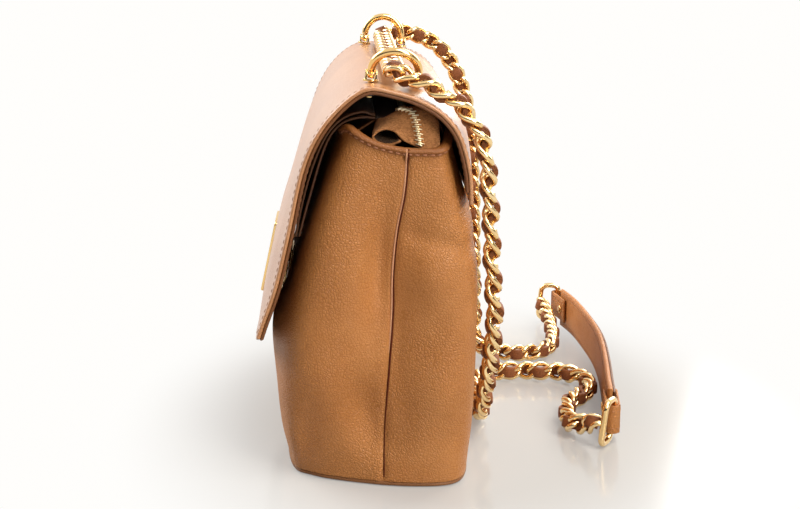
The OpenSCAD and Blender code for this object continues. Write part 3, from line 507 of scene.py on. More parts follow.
# direction across the chain at some of each route's points
nearAcross = {0: (0, -1, 0), 2: (0.25, -1, 0), 4: (1, -0.3, 0), 6: (1, 0, 0), 13: (1, 0, 0),
              18: (0.8, 0, -0.6), 22: (0, 0, -1), 36: (0, 0, -1), 41: (0.45, -0.45, -0.8)}
topAcross = {0: (0, 1, 0), 8: (0, 1, 0)}
farAcross = {0: (0, 1, 0), 2: (0.2, 0.8, 0.5), 3: (0, 0.4, 1), 5: (0, 0.4, 1), 7: (0, 0.8, 0.6),
             9: (0, 1, 0.4), 12: (0.1, 1, 0.1), 15: (0.5, 1, 0), 18: (1, 0.3, 0), 20: (0.8, 0, 0.6),
             23: (0, 0, 1), 29: (0, 0, 1), 31: (0.3, 0.3, 0.9)}

chainLook = {
    "width": 12.1, "wire": 3.0, "linkLength": 16.8, "pitch": 9.6, "twist": 60, "square": 0.82,
    "roll": 10, "ringSteps": 36, "wireSteps": 10, "laceWidth": 6.4, "laceThick": 2.6, "laceSwing": 3.6,
    "layers": 4, "diameter": 12.5,
}
tautLook = {**chainLook, "laceSwing": 2.2, "laceThick": 2.0, "laceWidth": 7.6, "square": 1.0, "pitch": 9.2,
            "linkLength": 16.0, "wire": 3.2, "twist": 50, "roll": 16}
farLook = {**chainLook, "width": 11.4, "roll": 5}


# frames along a route: places, and directions across the chain and out of its face
def chainFrames(route, across):
    path, s = densePath(route, 0.5)
    nodesAt = np.linspace(0, 1, len(route))
    fine = readTable(np.asarray(route, float), np.linspace(0, 1, 40 * len(route)))
    keyAt = np.interp([nodesAt[k] for k in across], np.linspace(0, 1, len(fine)), runAlong(fine))
    side = readAt(s, keyAt, unit(np.array(list(across.values()), float)))
    along = tangents(path)
    side = squareTo(side, along)
    return path, s, along, side, np.cross(side, along)


def chainAt(frames, s):
    path, run, along, side, face = frames
    return readAt(s, run, path), *[unit(readAt(s, run, a)) for a in (along, side, face)]


# one curb link: an oval of wire, turned about its long axis in step with the place along it
def linkShape(look):
    a = (look["linkLength"] - look["wire"]) / 2
    b = (look["width"] - look["wire"]) / 2
    t = np.linspace(0, 2 * np.pi, look["ringSteps"], endpoint=False)
    flat = look["square"]
    x = a * np.sign(np.cos(t)) * np.abs(np.cos(t)) ** flat
    y = b * np.sign(np.sin(t)) * np.abs(np.sin(t)) ** flat
    turn = np.radians(look["twist"]) * x / a
    middle = np.stack([x, y * np.cos(turn), y * np.sin(turn)], 1)
    along = tangents(middle, True)
    out = unit(np.stack([np.zeros_like(x), np.cos(turn), np.sin(turn)], 1) * np.sign(y)[:, None]
               + np.stack([np.sign(x), 0 * x, 0 * x], 1) * (np.abs(x) / a)[:, None] ** 3)
    out = squareTo(out, along)
    rings = sweepPoints(middle, out, np.cross(along, out), circle(look["wire"] / 2, look["wireSteps"]))
    return rings.reshape(-1, 3), gridFaces(*rings.shape[:2], True, True)


# cross-section of the lace: a folded strip whose edges show their layers
def laceProfile(look):
    w, h, layers = look["laceWidth"] / 2, look["laceThick"], look["layers"]
    edge = []
    for k in range(layers):
        middle = -h / 2 + h * (k + 0.5) / layers
        turn = np.radians(np.linspace(-70, 70, 4))
        edge.append(np.stack([w - 0.5 + 0.5 * np.cos(turn), middle + h / layers / 2 * np.sin(turn)], 1))
    right = np.concatenate(edge)
    left = right[::-1] * np.array([-1, 1])
    top = np.array([[w * 0.5, h / 2 + 0.12], [0, h / 2 + 0.18], [-w * 0.5, h / 2 + 0.12]])
    return np.concatenate([right, top, left, -top[::-1] * np.array([-1, 1])])


# a chain laid along a route: the links, and the lace that swings in and out of them
def layChain(name, route, across, look, stands):
    frames = chainFrames(route, across)
    length = frames[1][-1]
    count = int(round(length / look["pitch"]))
    pitch = length / count
    shape, faces = linkShape(look)
    # each link follows the bend of the route under it
    reach = (np.arange(count) + 0.5)[:, None] * pitch + shape[None, :, 0]
    p, t, sd, fc = chainAt(frames, np.clip(reach, 0, length).reshape(-1))
    over = (reach - np.clip(reach, 0, length)).reshape(-1, 1)
    flat = np.tile(shape, (count, 1))
    # every second link lies rolled a little the other way
    roll = np.repeat(np.radians(look["roll"]) * (1 - 2 * (np.arange(count) % 2)), len(shape))[:, None]
    bent = p + over * t + sd * (flat[:, 1:2] * np.cos(roll) - flat[:, 2:3] * np.sin(roll))
    bent = bent + fc * (flat[:, 1:2] * np.sin(roll) + flat[:, 2:3] * np.cos(roll))
    points, every = repeated(bent.reshape(count, -1, 3), faces)
    links = makePiece(name + "Links", points, every, chainGold, "laced_chain", "bag")
    s = np.linspace(0, length, int(length / 0.8))
    p, t, sd, fc = chainAt(frames, s)
    swing = look["laceSwing"] * np.sin(np.pi * s / pitch)
    line = p + fc * swing[:, None]
    run = tangents(line)
    upward = np.cross(sd, run)
    rings = sweepPoints(line, sd, upward, laceProfile(look))
    lace = makePiece(name + "Lace", rings, capFans(rings), laceLeather, "laced_chain", "bag", stands)
    print(name, "length mm", round(float(length), 1), "links", count, "pitch", round(float(pitch), 2))
    return lace, links, frames, length


nearRun = layChain("strapNear", nearRoute, nearAcross, chainLook, ("chain_near_run",))
topRun = layChain("strapTop", topRoute, topAcross, tautLook, ("chain_top_run",))
farRun = layChain("strapFar", farRoute, farAcross, farLook, ("chain_far_run",))

ringLook = {
    "wire": 3.6, "height": 28.0, "reach": 12.4, "corner": 4.5, "wireSteps": 14,
    "limbOut": 12.3, "middleZ": 14.3,
    "nearEnd": (62, 130.5), "nearNext": (39, 133.5), "nearTurn": -34, "lean": 0.1,
    "farEnd": (-150, 136.5), "farNext": (-132, 140), "farTurn": 262,
}


# rounded oblong of round wire, one upright side in the fold of the pad's loop
def ringPoints(look, end, nextPoint, turn):
    straight = np.arctan2(end[1] - nextPoint[1], end[0] - nextPoint[0])
    base = np.array(end) + look["limbOut"] * np.array([np.cos(straight), np.sin(straight)])
    h = look["height"] - look["wire"]
    outline = roundProfile(look["reach"], h, look["corner"], 8) + np.array([look["reach"] / 2, 0])
    keep = [outline[0]]
    for point in outline[1:]:
        if np.linalg.norm(point - keep[-1]) > 0.05:
            keep.append(point)
    outline = np.array(keep)
    a = np.radians(turn)
    path = np.stack([base[0] + outline[:, 0] * np.cos(a), base[1] + outline[:, 0] * np.sin(a),
                     look["middleZ"] + outline[:, 1]], 1)
    path[:, 1] += look["lean"] * outline[:, 1]
    along = tangents(path, True)
    flat = np.tile(np.array([-np.sin(a), np.cos(a), 0.0]), (len(path), 1))
    rings = sweepPoints(path, flat, np.cross(flat, along), circle(look["wire"] / 2, look["wireSteps"]))
    return rings, gridFaces(*rings.shape[:2], True, True, flip=True)


nearWire = ringPoints(ringLook, ringLook["nearEnd"], ringLook["nearNext"], ringLook["nearTurn"])
farWire = ringPoints(ringLook, ringLook["farEnd"], ringLook["farNext"], ringLook["farTurn"])
ringNear = makePiece("strapRingNearWire", *nearWire, chainGold, "gold_metal", "bag", ("strap_ring_near",))
ringFar = makePiece("strapRingFarWire", *farWire, chainGold, "gold_metal", "bag", ("strap_ring_far",))

padLook = {
    "route": [[62, 130.5], [39, 133.5], [16, 136.8], [-8, 140], [-36, 143], [-62, 144.2], [-90, 143.5],
              [-115, 142], [-132, 140], [-150, 136.5]],
    "low": 0.3, "height": 27.0, "stitchOut": 2.35, "stitchIn": 3.0, "stitchSkip": 2.0,
    "thread": (2.4, 1.1, 0.45), "loopThread": (1.9, 1.0, 0.42),
    "outer": {"inset": 0.0, "thick": 3.3, "shift": 0.7},
    "inner": {"inset": 2.0, "thick": 1.2, "shift": -1.5},
    "loopHeight": 16.6, "loopThick": 1.6, "loopOut": 16.0, "loopLap": 13.0, "loopHalf": 2.65,
}


# steps along a length that crowd together at both rounded ends
def edgeSteps(length, r, count):
    near = np.array([0, 0.06, 0.22, 0.5, 1.0]) * r
    middle = np.linspace(r, length - r, count)[1:-1]
    return np.concatenate([near, middle, length - near[::-1]])


# a sheet of leather or cloth round a middle surface, its thickness rounded off at every edge
def roundedSheet(middle, normal, gap, thick):
    rise = thick / 2 * np.sqrt(np.maximum(0, 1 - (1 - np.clip(gap / (thick / 2), 0, 1)) ** 2))
    rows, cols = middle.shape[:2]
    skin, under = middle + normal * rise[..., None], middle - normal * rise[..., None]
    faces = np.concatenate([gridFaces(rows, cols), gridFaces(rows, cols, start=rows * cols, flip=True)])
    return np.concatenate([skin.reshape(-1, 3), under.reshape(-1, 3)]), faces


# distance to the nearest edge, over a grid of two lengths
def edgeGap(a, aLength, b, bLength):
    return np.minimum(np.minimum(a, aLength - a)[:, None], np.minimum(b, bLength - b)[None])


# a strip standing on edge along a plan line, between two heights
def standingStrip(plan, low, high, thick, offset, step=2.0):
    route = np.concatenate([np.asarray(plan, float), np.zeros((len(plan), 1))], 1)
    path, s = densePath(route, 0.25)
    along = edgeSteps(s[-1], thick / 2, max(8, int(s[-1] / step)))
    at = readAt(along, s, path[:, :2])
    t = unit(readAt(along, s, tangents(path)[:, :2]))
    n = np.stack([-t[:, 1], t[:, 0]], 1)
    up = edgeSteps(high - low, thick / 2, max(6, int((high - low) / step)))
    middle = np.zeros((len(along), len(up), 3))
    middle[..., :2] = (at + n * offset)[:, None]
    middle[..., 2] = low + up[None]
    normal = np.zeros_like(middle)
    normal[..., :2] = n[:, None]
    return middle, normal, edgeGap(along, s[-1], up, high - low)


# small rounded bars laid end to end along a line on a surface; thread gives their
# length, the gap between them and their thickness
def stitchRow(line, outward, thread, lift=0.1, skip=0.0):
    length, gap, thick = thread
    run = runAlong(line)
    start = np.arange(skip, run[-1] - length - skip, length + gap)
    p0, p1 = readAt(start, run, line), readAt(start + length, run, line)
    n = unit(readAt(start + length / 2, run, outward))
    t = unit(p1 - p0)
    n = squareTo(n, t)
    b = np.cross(n, t)
    size = np.linalg.norm(p1 - p0, axis=1)
    stops = np.array([-1, -0.86, -0.4, 0.4, 0.86, 1.0])
    width = np.array([0.25, 0.8, 1, 1, 0.8, 0.25]) * thick / 2
    dive = np.array([-0.45, -0.1, 0.12, 0.12, -0.1, -0.45]) * thick
    ring = circle(1.0, 6)
    x = stops[:, None] * 0.5 + 0 * ring[None, :, 0]
    y = width[:, None] * ring[None, :, 0]
    z = width[:, None] * ring[None, :, 1] + dive[:, None]
    mid = (p0 + p1) / 2
    shape = (mid[:, None, None] + t[:, None, None] * (x[None, ..., None] * size[:, None, None, None])
             + b[:, None, None] * y[None, ..., None] + n[:, None, None] * (z[None, ..., None] + lift))
    faces = gridFaces(6, 6, wrapCols=True, flip=True)
    ends = np.array([[0, 1, 2, 3], [0, 3, 4, 5], [33, 32, 31, 30], [35, 34, 33, 30]])
    return repeated(shape.reshape(len(start), -1, 3), np.concatenate([faces, ends]))


# a CAD node's own shape with its corners eased, so that they catch the light
def easedCopy(name, node, width, material, body, segments=2):
    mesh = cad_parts[node].data.copy()
    mesh.name = name
    work = bmesh.new()
    work.from_mesh(mesh)
    bmesh.ops.remove_doubles(work, verts=work.verts, dist=1e-6)
    bmesh.ops.dissolve_limit(work, angle_limit=np.radians(1.0), verts=work.verts, edges=work.edges)
    work.to_mesh(mesh)
    work.free()
    mesh.polygons.foreach_set("use_smooth", [True] * len(mesh.polygons))
    mesh.materials.clear()
    mesh.materials.append(material)
    piece = linkPiece(name, mesh, body, (node,))
    bevel = piece.modifiers.new("Ease", "BEVEL")
    bevel.width = width * mm
    bevel.segments = segments
    bevel.limit_method = "ANGLE"
    bevel.angle_limit = np.radians(32)
    bevel.harden_normals = True
    bevel.use_clamp_overlap = True
    return piece


# a rounded sheet as a piece, with the points that fall together at its edges merged
def sheetPiece(name, middle, normal, gap, thick, material, slotName, body, stands):
    points, faces = roundedSheet(middle, normal, gap, thick)
    return makePiece(name, points, faces, material, slotName, body, stands, merge=1e-7)


padTop = padLook["low"] + padLook["height"]


# one leaf of the pad: a strip along its route, held in from its lower and upper edges
def padLeaf(name, leaf, material, slotName, stands):
    low, high = padLook["low"] + leaf["inset"], padTop - leaf["inset"]
    strip = standingStrip(padLook["route"], low, high, leaf["thick"], leaf["shift"])
    return sheetPiece(name, *strip, leaf["thick"], material, slotName, "bag", stands)


padOuter = padLeaf("padOuterLeaf", padLook["outer"], padLeather, "grained_leather", ("pad_outer",))
padInner = padLeaf("padLiningLeaf", padLook["inner"], padInnerLeather, "smooth_leather", ("pad_lining",))


# leather folded through a ring and laid over both faces of the pad's end
def loopPlan(look, end, nextPoint):
    d = unit(np.array(end, float) - np.array(nextPoint, float))
    n = np.array([-d[1], d[0]])
    r = look["loopHalf"] + look["loopThick"] / 2
    bendAt = look["loopOut"] - look["loopHalf"] - look["loopThick"]
    turn = np.radians(np.linspace(-90, 90, 13))
    local = [[-look["loopLap"], -r], [-look["loopLap"] / 2, -r]]
    local += [[bendAt + r * np.cos(a), r * np.sin(a)] for a in turn]
    local += [[-look["loopLap"] / 2, r], [-look["loopLap"], r]]
    local = np.array(local)
    return np.array(end) + local[:, :1] * d + local[:, 1:] * n


loopSheets, loopStitches = [], []
for first, second in ((0, 1), (-1, -2)):
    plan = loopPlan(padLook, padLook["route"][first], padLook["route"][second])
    low = ringLook["middleZ"] - padLook["loopHeight"] / 2
    high = low + padLook["loopHeight"]
    middle, normal, gap = standingStrip(plan, low, high, padLook["loopThick"], 0.0, 1.2)
    loopSheets.append(roundedSheet(middle, normal, gap, padLook["loopThick"]))
    outside = middle - normal * padLook["loopThick"] / 2
    for column in (6, middle.shape[1] - 7):
        loopStitches.append(stitchRow(outside[5:-5, column], -normal[5:-5, column], padLook["loopThread"]))
padLoops = makePiece("padFoldedLoops", *joined(loopSheets), camel, "grained_leather", "bag", ("pad_loops",),
                     merge=1e-7)
padStitches = []
for side in (1, -1):
    off = side * padLook["stitchOut"]
    middle, normal, _ = standingStrip(padLook["route"], padLook["low"], padTop, 0.5, off)
    for z in (padLook["low"] + padLook["stitchIn"], padTop - padLook["stitchIn"]):
        line = middle[5:-5, 0] * [1, 1, 0] + [0, 0, z]
        outward = side * normal[5:-5, 0]
        padStitches.append(stitchRow(line, outward, padLook["thread"], skip=padLook["stitchSkip"]))
padThread = makePiece("padStitching", *joined(padStitches + loopStitches), seamThread, "grained_leather",
                      "bag")
padRivets = easedCopy("padRivetHeads", "pad_rivets", 0.3, gold, "bag")


print("strap laid")


# body: two leather panels drawn in at the ends, folded bands at the rim, base

bodyLook = {
    "length": 262.0, "depth": 107.0, "rim": 182.0, "panel": 2.0, "base": 2.4,
    "pinch": 6.0, "pinchWidth": 0.16,
    "front": [-0.49, -0.519, -0.52, -0.497, -0.463, -0.407, -0.342, -0.27, -0.2],
    "back": [0.428, 0.45, 0.46, 0.467, 0.472, 0.464, 0.435, 0.376, 0.325],
    "seam": [-0.005, 0, 0.012, 0.028, 0.042, 0.047, 0.066, 0.1, 0.112],
    "ends": [1, 1, 0.998, 0.995, 0.99, 0.984, 0.978, 0.97, 0.962],
    "pinches": [0.15, 0.5, 0.85, 1, 1, 0.9, 0.7, 0.4, 0],
    "frontPowers": [4.6, 6, 7.5, 8, 8, 8, 8, 7.5, 7], "backPower": 8.0,
    "rimDip": 0.033, "rimRise": 0.004,
    "seamDepth": 1.15, "seamWidth": 1.7, "sag": 0.45, "levels": 120,
    "bandHeight": 2.9, "bandThick": 1.5, "stitchDown": 2.0, "thread": (2.3, 1.4, 0.85), "threadLift": 0.2,
    "nearRim": [5.2, 4.2, 1.9, 0.1, -1.2, -1.7, -1.8, -2.5, -4.4], "nearRimSpan": (-16, 36),
    "nearBase": [0, -8.6, -9.4, -7.4, -4.2, -1.2, 0.4, 1.0, 1.0, 0.6, 0],
    "nearBaseSpan": (-49, 46), "nearBaseTop": 0.34,
    "rimStart": (106, 122), "baseStart": (60, 110), "endStart": (88, 128), "foldStart": (60, 118),
    "panelShare": 0.9, "onBand": (0.962, 0.984),
    "belly": 6.4, "bellyZ": 74.0, "bellyAbove": 17.0, "bellyBelow": 27.0,
}
# folds of the ends: size in mm, place and width across, height and width upwards
# as shares, how far the fold leans with height, and how far it rises across
nearFolds = [
    [2.2, -0.17, 0.16, 0.57, 0.26, 0, 0], [3.4, 0.21, 0.12, 0.61, 0.085, 0, 0],
    [1.2, 0.17, 0.12, 0.86, 0.09, 0, 0], [2.8, 0.26, 0.12, 0.28, 0.085, 0, 0.25],
    [-0.9, 0.09, 0.05, 0.24, 0.13, 0, 0], [-5.6, -0.08, 0.1, 0.2, 0.12, 0.35, 0],
    [1.9, -0.29, 0.11, 0.29, 0.13, 0, 0]]
seamFolds = [[-5.2, -0.075, 0.062, 0.64, 0.15, 0, 0], [-1.2, 0.03, 0.035, 0.40, 0.18, 0, 0]]
farFolds = [[1.8, 0.2, 0.12, 0.45, 0.22, 0, 0], [-2.2, -0.12, 0.07, 0.5, 0.2, 0, 0]]


def sumFolds(rows, across, height):
    total = 0
    for size, place, wide, level, tall, lean, rise in rows:
        total = total + (size * hump(across + lean * (height - level), place, wide)
                         * hump(height - rise * (across - place), level, tall))
    return total


# the folds that the leather has taken up, as a shift outwards: fuller pads either
# side of the near end's seam, a valley beside it, and slow ripples all round
def bodyFolds(look, half, x, y, z):
    across = y / look["depth"]
    height = z / look["rim"]
    near, far = ease(x, *look["foldStart"]), ease(-x, *look["foldStart"])
    beside = across - readTable(look["seam"], height)
    crease = -1.3 * hump(height - 0.70 + 0.16 * (across - 0.06), 0.035, 0.028) * ease(across, 0.06, 0.16)
    slow = look["sag"] * ripples(x + half * 40, z * 0.8, 11 if half < 0 else 12, 130)
    slow = slow + look["sag"] * 0.5 * ripples(y * 1.6 + x * 0.3, z, 21 if half < 0 else 22, 70)
    end = near * (sumFolds(nearFolds, across, height) + sumFolds(seamFolds, beside, height) + crease)
    end = end + far * sumFolds(farFolds, across, height)
    # the front panel's soft belly under the flap, fullest on the near side
    if half < 0:
        tall = np.where(z > look["bellyZ"], look["bellyAbove"], look["bellyBelow"])
        wide = hump(x, 62, 34) + 0.5 * hump(x, -62, 30)
        end = end + look["belly"] * wide * hump(z, look["bellyZ"], tall) * ease(-across, 0.1, 0.3)
    return (slow + end) * ease(height, 0.015, 0.14) * ease(1 - height, 0.02, 0.12)


# wall of the body: a superellipse whose reach, seam and length change with the level
def wallPoint(look, half, theta, level, inset=0.0, folds=False):
    theta, level = np.broadcast_arrays(theta, level)
    power = readTable(look["frontPowers"], level) if half < 0 else look["backPower"]
    seam = look["depth"] * readTable(look["seam"], level)
    edge = look["depth"] * readTable(look["front"] if half < 0 else look["back"], level)
    sine, cosine = np.sin(theta), np.cos(theta)
    across = np.maximum(0, sine) ** (2 / power)
    y = half * (np.abs(edge - seam) - inset) * across
    drawnIn = hump(y, 0, look["pinchWidth"] * look["depth"])
    pinch = look["pinch"] * readTable(look["pinches"], level) * drawnIn
    long = look["length"] / 2 * readTable(look["ends"], level) - inset
    x = np.sign(cosine) * (long * np.abs(cosine) ** (2 / power) - pinch)
    rise = look["rim"] * (-half * look["rimRise"] * sine - look["rimDip"] * cosine ** 6)
    rimShare = shareOf(seam + y, *look["nearRimSpan"])
    rise = rise + ease(x, *look["rimStart"]) * readTable(look["nearRim"], rimShare)
    z = look["base"] + level * (look["rim"] - look["base"]) + level ** 2 * rise
    baseShare = shareOf(seam + y, *look["nearBaseSpan"])
    low = 1 - ease(level, 0, look["nearBaseTop"])
    x = x + ease(x, *look["baseStart"]) * low * readTable(look["nearBase"], baseShare)
    point = np.stack([x, seam + y, z], -1)
    if folds:
        endward = np.sign(cosine)
        share = ease(np.abs(x), *look["endStart"])
        out = unit(np.stack([endward * share, half * across ** 4, 0 * x], -1))
        valley = look["seamDepth"] * np.exp(-(np.abs(y) / look["seamWidth"]) ** 1.5)
        point = point + out * bodyFolds(look, half, x, point[..., 1], point[..., 2])[..., None]
        point[..., 0] -= endward * valley * ease(level, -0.02, 0.02)
    return point


# angles that put even steps across the ends and along the sides of the plan
def planAngles(power=8.0, across=34, along=70):
    y = np.concatenate([[0, 0.006, 0.014, 0.024, 0.036, 0.05], np.linspace(0.07, 0.9, across)])
    first = np.arcsin(y ** (power / 2))
    x = np.linspace(0.9, 0, along // 2)
    second = np.arccos(x ** (power / 2))
    corner = np.linspace(first[-1], second[0], 14)[1:-1]
    quarter = np.concatenate([first, corner, second])
    return np.concatenate([quarter, np.pi - quarter[-2::-1]])


angles = planAngles()
levels = np.concatenate([[0, 0.002, 0.006, 0.012], np.linspace(0.02, 1, bodyLook["levels"])])


def gridNormals(points):
    return unit(np.cross(np.gradient(points, axis=1), np.gradient(points, axis=0)))


# a body panel: its outer wall, and the same wall again nearly a leather's thickness inwards
def bodyPanel(name, half, stands):
    outer = wallPoint(bodyLook, half, angles[None], levels[:, None], 0.0, True)
    normal = gridNormals(outer)
    normal = normal * np.sign(np.sign((normal * outer)[..., :2].sum(-1)).mean())
    under = outer - normal * bodyLook["panel"] * bodyLook["panelShare"]
    rows, cols = outer.shape[:2]
    size = rows * cols
    flip = half < 0
    faces = [gridFaces(rows, cols, flip=flip), gridFaces(rows, cols, start=size, flip=not flip)]
    border = np.concatenate([
        np.arange(cols), np.arange(1, rows) * cols + cols - 1,
        (rows - 1) * cols + np.arange(cols - 2, -1, -1), np.arange(rows - 2, 0, -1) * cols])
    nextOne = np.roll(border, -1)
    wallFaces = np.stack([border, border + size, nextOne + size, nextOne], 1)
    faces.append(wallFaces if flip else wallFaces[:, ::-1])
    points = np.concatenate([outer.reshape(-1, 3), under.reshape(-1, 3)])
    return makePiece(name, points, np.concatenate(faces), camel, "grained_leather", "bag", stands)


bodyPanel("bodyFrontPanel", -1, ("front_panel",))
bodyPanel("bodyBackPanel", 1, ("back_panel",))


# the end seams: a narrow cord of turned leather down each valley, nearly black as painted shade of the
# seam's groove, with the paler turned edge of the front panel along it
def seamCord(name, radius, shift, lift, material, start, taper, stands=()):
    overBand = bodyLook["bandThick"] + bodyLook["seamDepth"] * 0.6
    parts = []
    for theta, sign in ((0.0, 1), (np.pi, -1)):
        level = np.linspace(start, 1.0, 140)
        line = wallPoint(bodyLook, -1, theta, level, 0.0, True)
        full = np.maximum(0.1, ease(level, start, start + taper))
        line[:, 0] += sign * (lift * full - (1 - full) * 0.5 + overBand * ease(level, *bodyLook["onBand"]))
        line[:, 1] += shift
        line[:, 2] += ease(level, 0.99, 1.0) * 0.9
        side = np.tile([0.0, 1.0, 0.0], (len(line), 1))
        out = unit(np.cross(tangents(line), side))
        out = out * np.sign(out[:, :1]) * sign
        rings = sweepPoints(line, side, out, circle(radius, 8))
        rings = line[:, None] + (rings - line[:, None]) * full[:, None, None]
        parts.append((rings, capFans(rings)))
    return makePiece(name, *joined(parts), material, "grained_leather", "bag", stands)


seamCord("bodyEndSeams", 0.5, 0.5, 0.1, darkSeam, 0.004, 0.01, ("end_welts",))
seamCord("bodySeamEdges", 0.5, -0.5, 0.25, paleSeam, 0.24, 0.24)


# a band folded over the rim: a flat strip rounded over the top of the panel and
# pressed in where it is stitched
def rimBand(name, half, stands):
    look = bodyLook
    h, t, down, panel = look["bandHeight"], look["bandThick"], look["stitchDown"], look["panel"]
    r = (panel + 2 * t) / 2 - 0.25
    # points of (up from the rim, out from the wall): the outer face, the fold and the inner face
    profile = [(-h, 0.0), (-h - 0.1, 0.3), (-h + 0.15, 0.75), (-down - 0.35, 0.7), (-down, 0.35),
               (-down + 0.35, 0.75), (-down + 0.75, t - 0.1), (-0.7, t + 0.25)]
    turn = np.linspace(0, np.pi, 9)
    profile += [(0.7125 * r * np.sin(a) - 0.2, t + 0.2 - r + r * np.cos(a)) for a in turn]
    profile += [(-1.6, -panel - 0.9), (-2.6, -panel - 0.9), (-2.6, -panel - 0.2), (-1.2, -panel),
                (-0.7, -1.0), (-1.2, 0.1)]
    rings = np.zeros((len(angles), len(profile), 3))
    for k, (up, out) in enumerate(profile):
        rings[:, k] = wallPoint(look, half, angles, 1 + min(up, 0) / look["rim"], -out)
        rings[:, k, 2] += max(up, 0)
    makePiece(name, rings, capFans(rings), rimShadedCamel, "grained_leather", "bag", stands)
    stitchLevel = 1 - down / look["rim"]
    line = wallPoint(look, half, angles, stitchLevel, -0.6)
    outward = unit(line - wallPoint(look, half, angles, stitchLevel, 2.0))
    return stitchRow(line, outward, look["thread"], look["threadLift"])


frontRow = rimBand("rimFrontBand", -1, ("rim_band_front",))
backRow = rimBand("rimBackBand", 1, ("rim_band_back",))
makePiece("rimStitching", *joined([frontRow, backRow]), rimThread, "grained_leather", "bag")


# the body's plan at one level, as a closed ring of points
def planRing(level, inset):
    front = wallPoint(bodyLook, -1, angles, level, inset)
    return np.concatenate([front, wallPoint(bodyLook, 1, angles[::-1], level, inset)[1:-1]])


# a flat piece with the plan of the body: rings of (inset, height) from below to above
def planPiece(name, profile, material, slotName, stands):
    rings = np.array([planRing(0.0, inset) * [1, 1, 0] + [0, 0, z] for inset, z in profile])
    return makePiece(name, rings, capFans(rings), material, slotName, "bag", stands)


# a leather bottom that shows as a thin turned strip round the lower edge, and the board on it
planPiece("basePanelTurned", ((30, 0.25), (3.0, 0.1), (0.9, 0.0), (0.25, 0.35), (0.0, 1.1), (0.15, 1.8),
                              (0.6, 2.3), (2.2, 2.5), (30, 2.4)),
          baseShadedLeather, "smooth_leather", ("base_panel",))
planPiece("baseBoardSheet", ((40, 2.45), (3.4, 2.45), (3.0, 2.7), (3.0, 3.7), (3.4, 3.95), (40, 3.95)),
          boardStock, "board", ("base_board",))
print("body made")


# flap: one outer leather and one lining, both carried over the flap's bend

flapLook = {
    "depth": 116.0, "top": 206.0, "length": 256.0, "outer": 2.0, "lining": 1.8, "drop": 20.0, "swell": 2.5,
    "line": [[-0.591, 0.291], [-0.553, 0.388], [-0.493, 0.51], [-0.427, 0.645], [-0.356, 0.79],
             [-0.289, 0.886], [-0.19, 0.958], [-0.069, 0.998], [0.06, 0.994], [0.172, 0.982],
             [0.288, 0.952], [0.366, 0.893], [0.399, 0.8], [0.396, 0.716]],
    "swells": [0.2, 0.2, 0.23, 0.49, 0.73, 1, 0.65, 0.39, 0.16, 0.06, 0],
    "bend": 25, "last": 65, "liningLast": 63, "dropShare": 2.06,
    "nearSag": [0, 0, 1.9, 1.3, 0, 0.6, 0.9, 0.1, 1.3, 3.1, 4.9, 4.6, 2.9, 1.3], "fuller": 1.9,
    "heldX": 106, "heldY": 20, "heldWidth": 9, "held": 0.92, "sagStart": 0.68,
    "stitchIn": 4.2, "thread": (2.4, 1.3, 0.42),
    "foldStart": (0, -0.012, 0.199), "foldEnd": (0, -0.047, 0.160),
}


# the flap's line at a depth under its outer face, in points five to a span
def flapLine(look, depth):
    points = np.array(look["line"]) * [look["depth"], look["top"]]
    line = readTable(points, np.linspace(0, 1, 5 * (len(points) - 1) + 1))
    step = np.concatenate([[line[1] - line[0]], line[2:] - line[:-2], [line[-1] - line[-2]]])
    left = unit(np.stack([-step[:, 1], step[:, 0]], 1))
    return line - depth * left


# places on the flap: u from -1 to 1 along the bag, t from 0 at the lower edge
# through 1 at the bend to 2 at the seam on the back
def flapPoint(look, u, t, depth, last):
    u, t = np.broadcast_arrays(u, t)
    line = flapLine(look, depth)
    front, top = line[:look["bend"] + 1], line[look["bend"]:last + 1]
    q = 1 - (1 - look["drop"] * look["dropShare"] / look["top"] * u * u) * (1 - np.minimum(t, 1))
    low = readTable(front, q)
    high = readTable(top, np.maximum(t - 1, 0))
    swell = look["swell"] * (1 - u * u) * readTable(look["swells"], q)
    y = np.where(t <= 1, low[..., 0] - swell, high[..., 0])
    z = np.where(t <= 1, low[..., 1], high[..., 1])
    x = u * look["length"] / 2
    # the near end has sunk inwards, square to the line, but not under the arch's seat
    along = np.where(t <= 1, q * look["bend"], look["bend"] + (t - 1) * (last - look["bend"]))
    step, spans = 0.02, len(line) - 1
    both = readTable(line, (along + step) / spans) - readTable(line, (along - step) / spans)
    inward = unit(np.stack([both[..., 1], -both[..., 0]], -1))
    held = hump(x, look["heldX"], look["heldWidth"]) * hump(y, look["heldY"], look["heldWidth"])
    sag = readTable(look["nearSag"], along / look["last"]) * ease(u, look["sagStart"], 1.0)
    sag = sag * (1 - look["held"] * held)
    # a soft pad under the outer leather, fullest away from the flap's ends
    if depth < look["outer"]:
        full = look["fuller"] * (1 - u ** 4) * ease(np.minimum(t, 1), 0.0, 0.3) * ease(1.15 - t, 0, 0.5)
        sag = sag - full * (1 - depth / look["outer"] * 0.5)
    y = y + inward[..., 0] * sag
    z = z + inward[..., 1] * sag
    wave = 0.45 * ripples(x, y + z, 31, 90) * ease(np.minimum(t, 1.15), 0, 0.25) * ease(1.2 - t, 0, 0.15)
    return np.stack([x, y - wave * 0.6, z], -1)


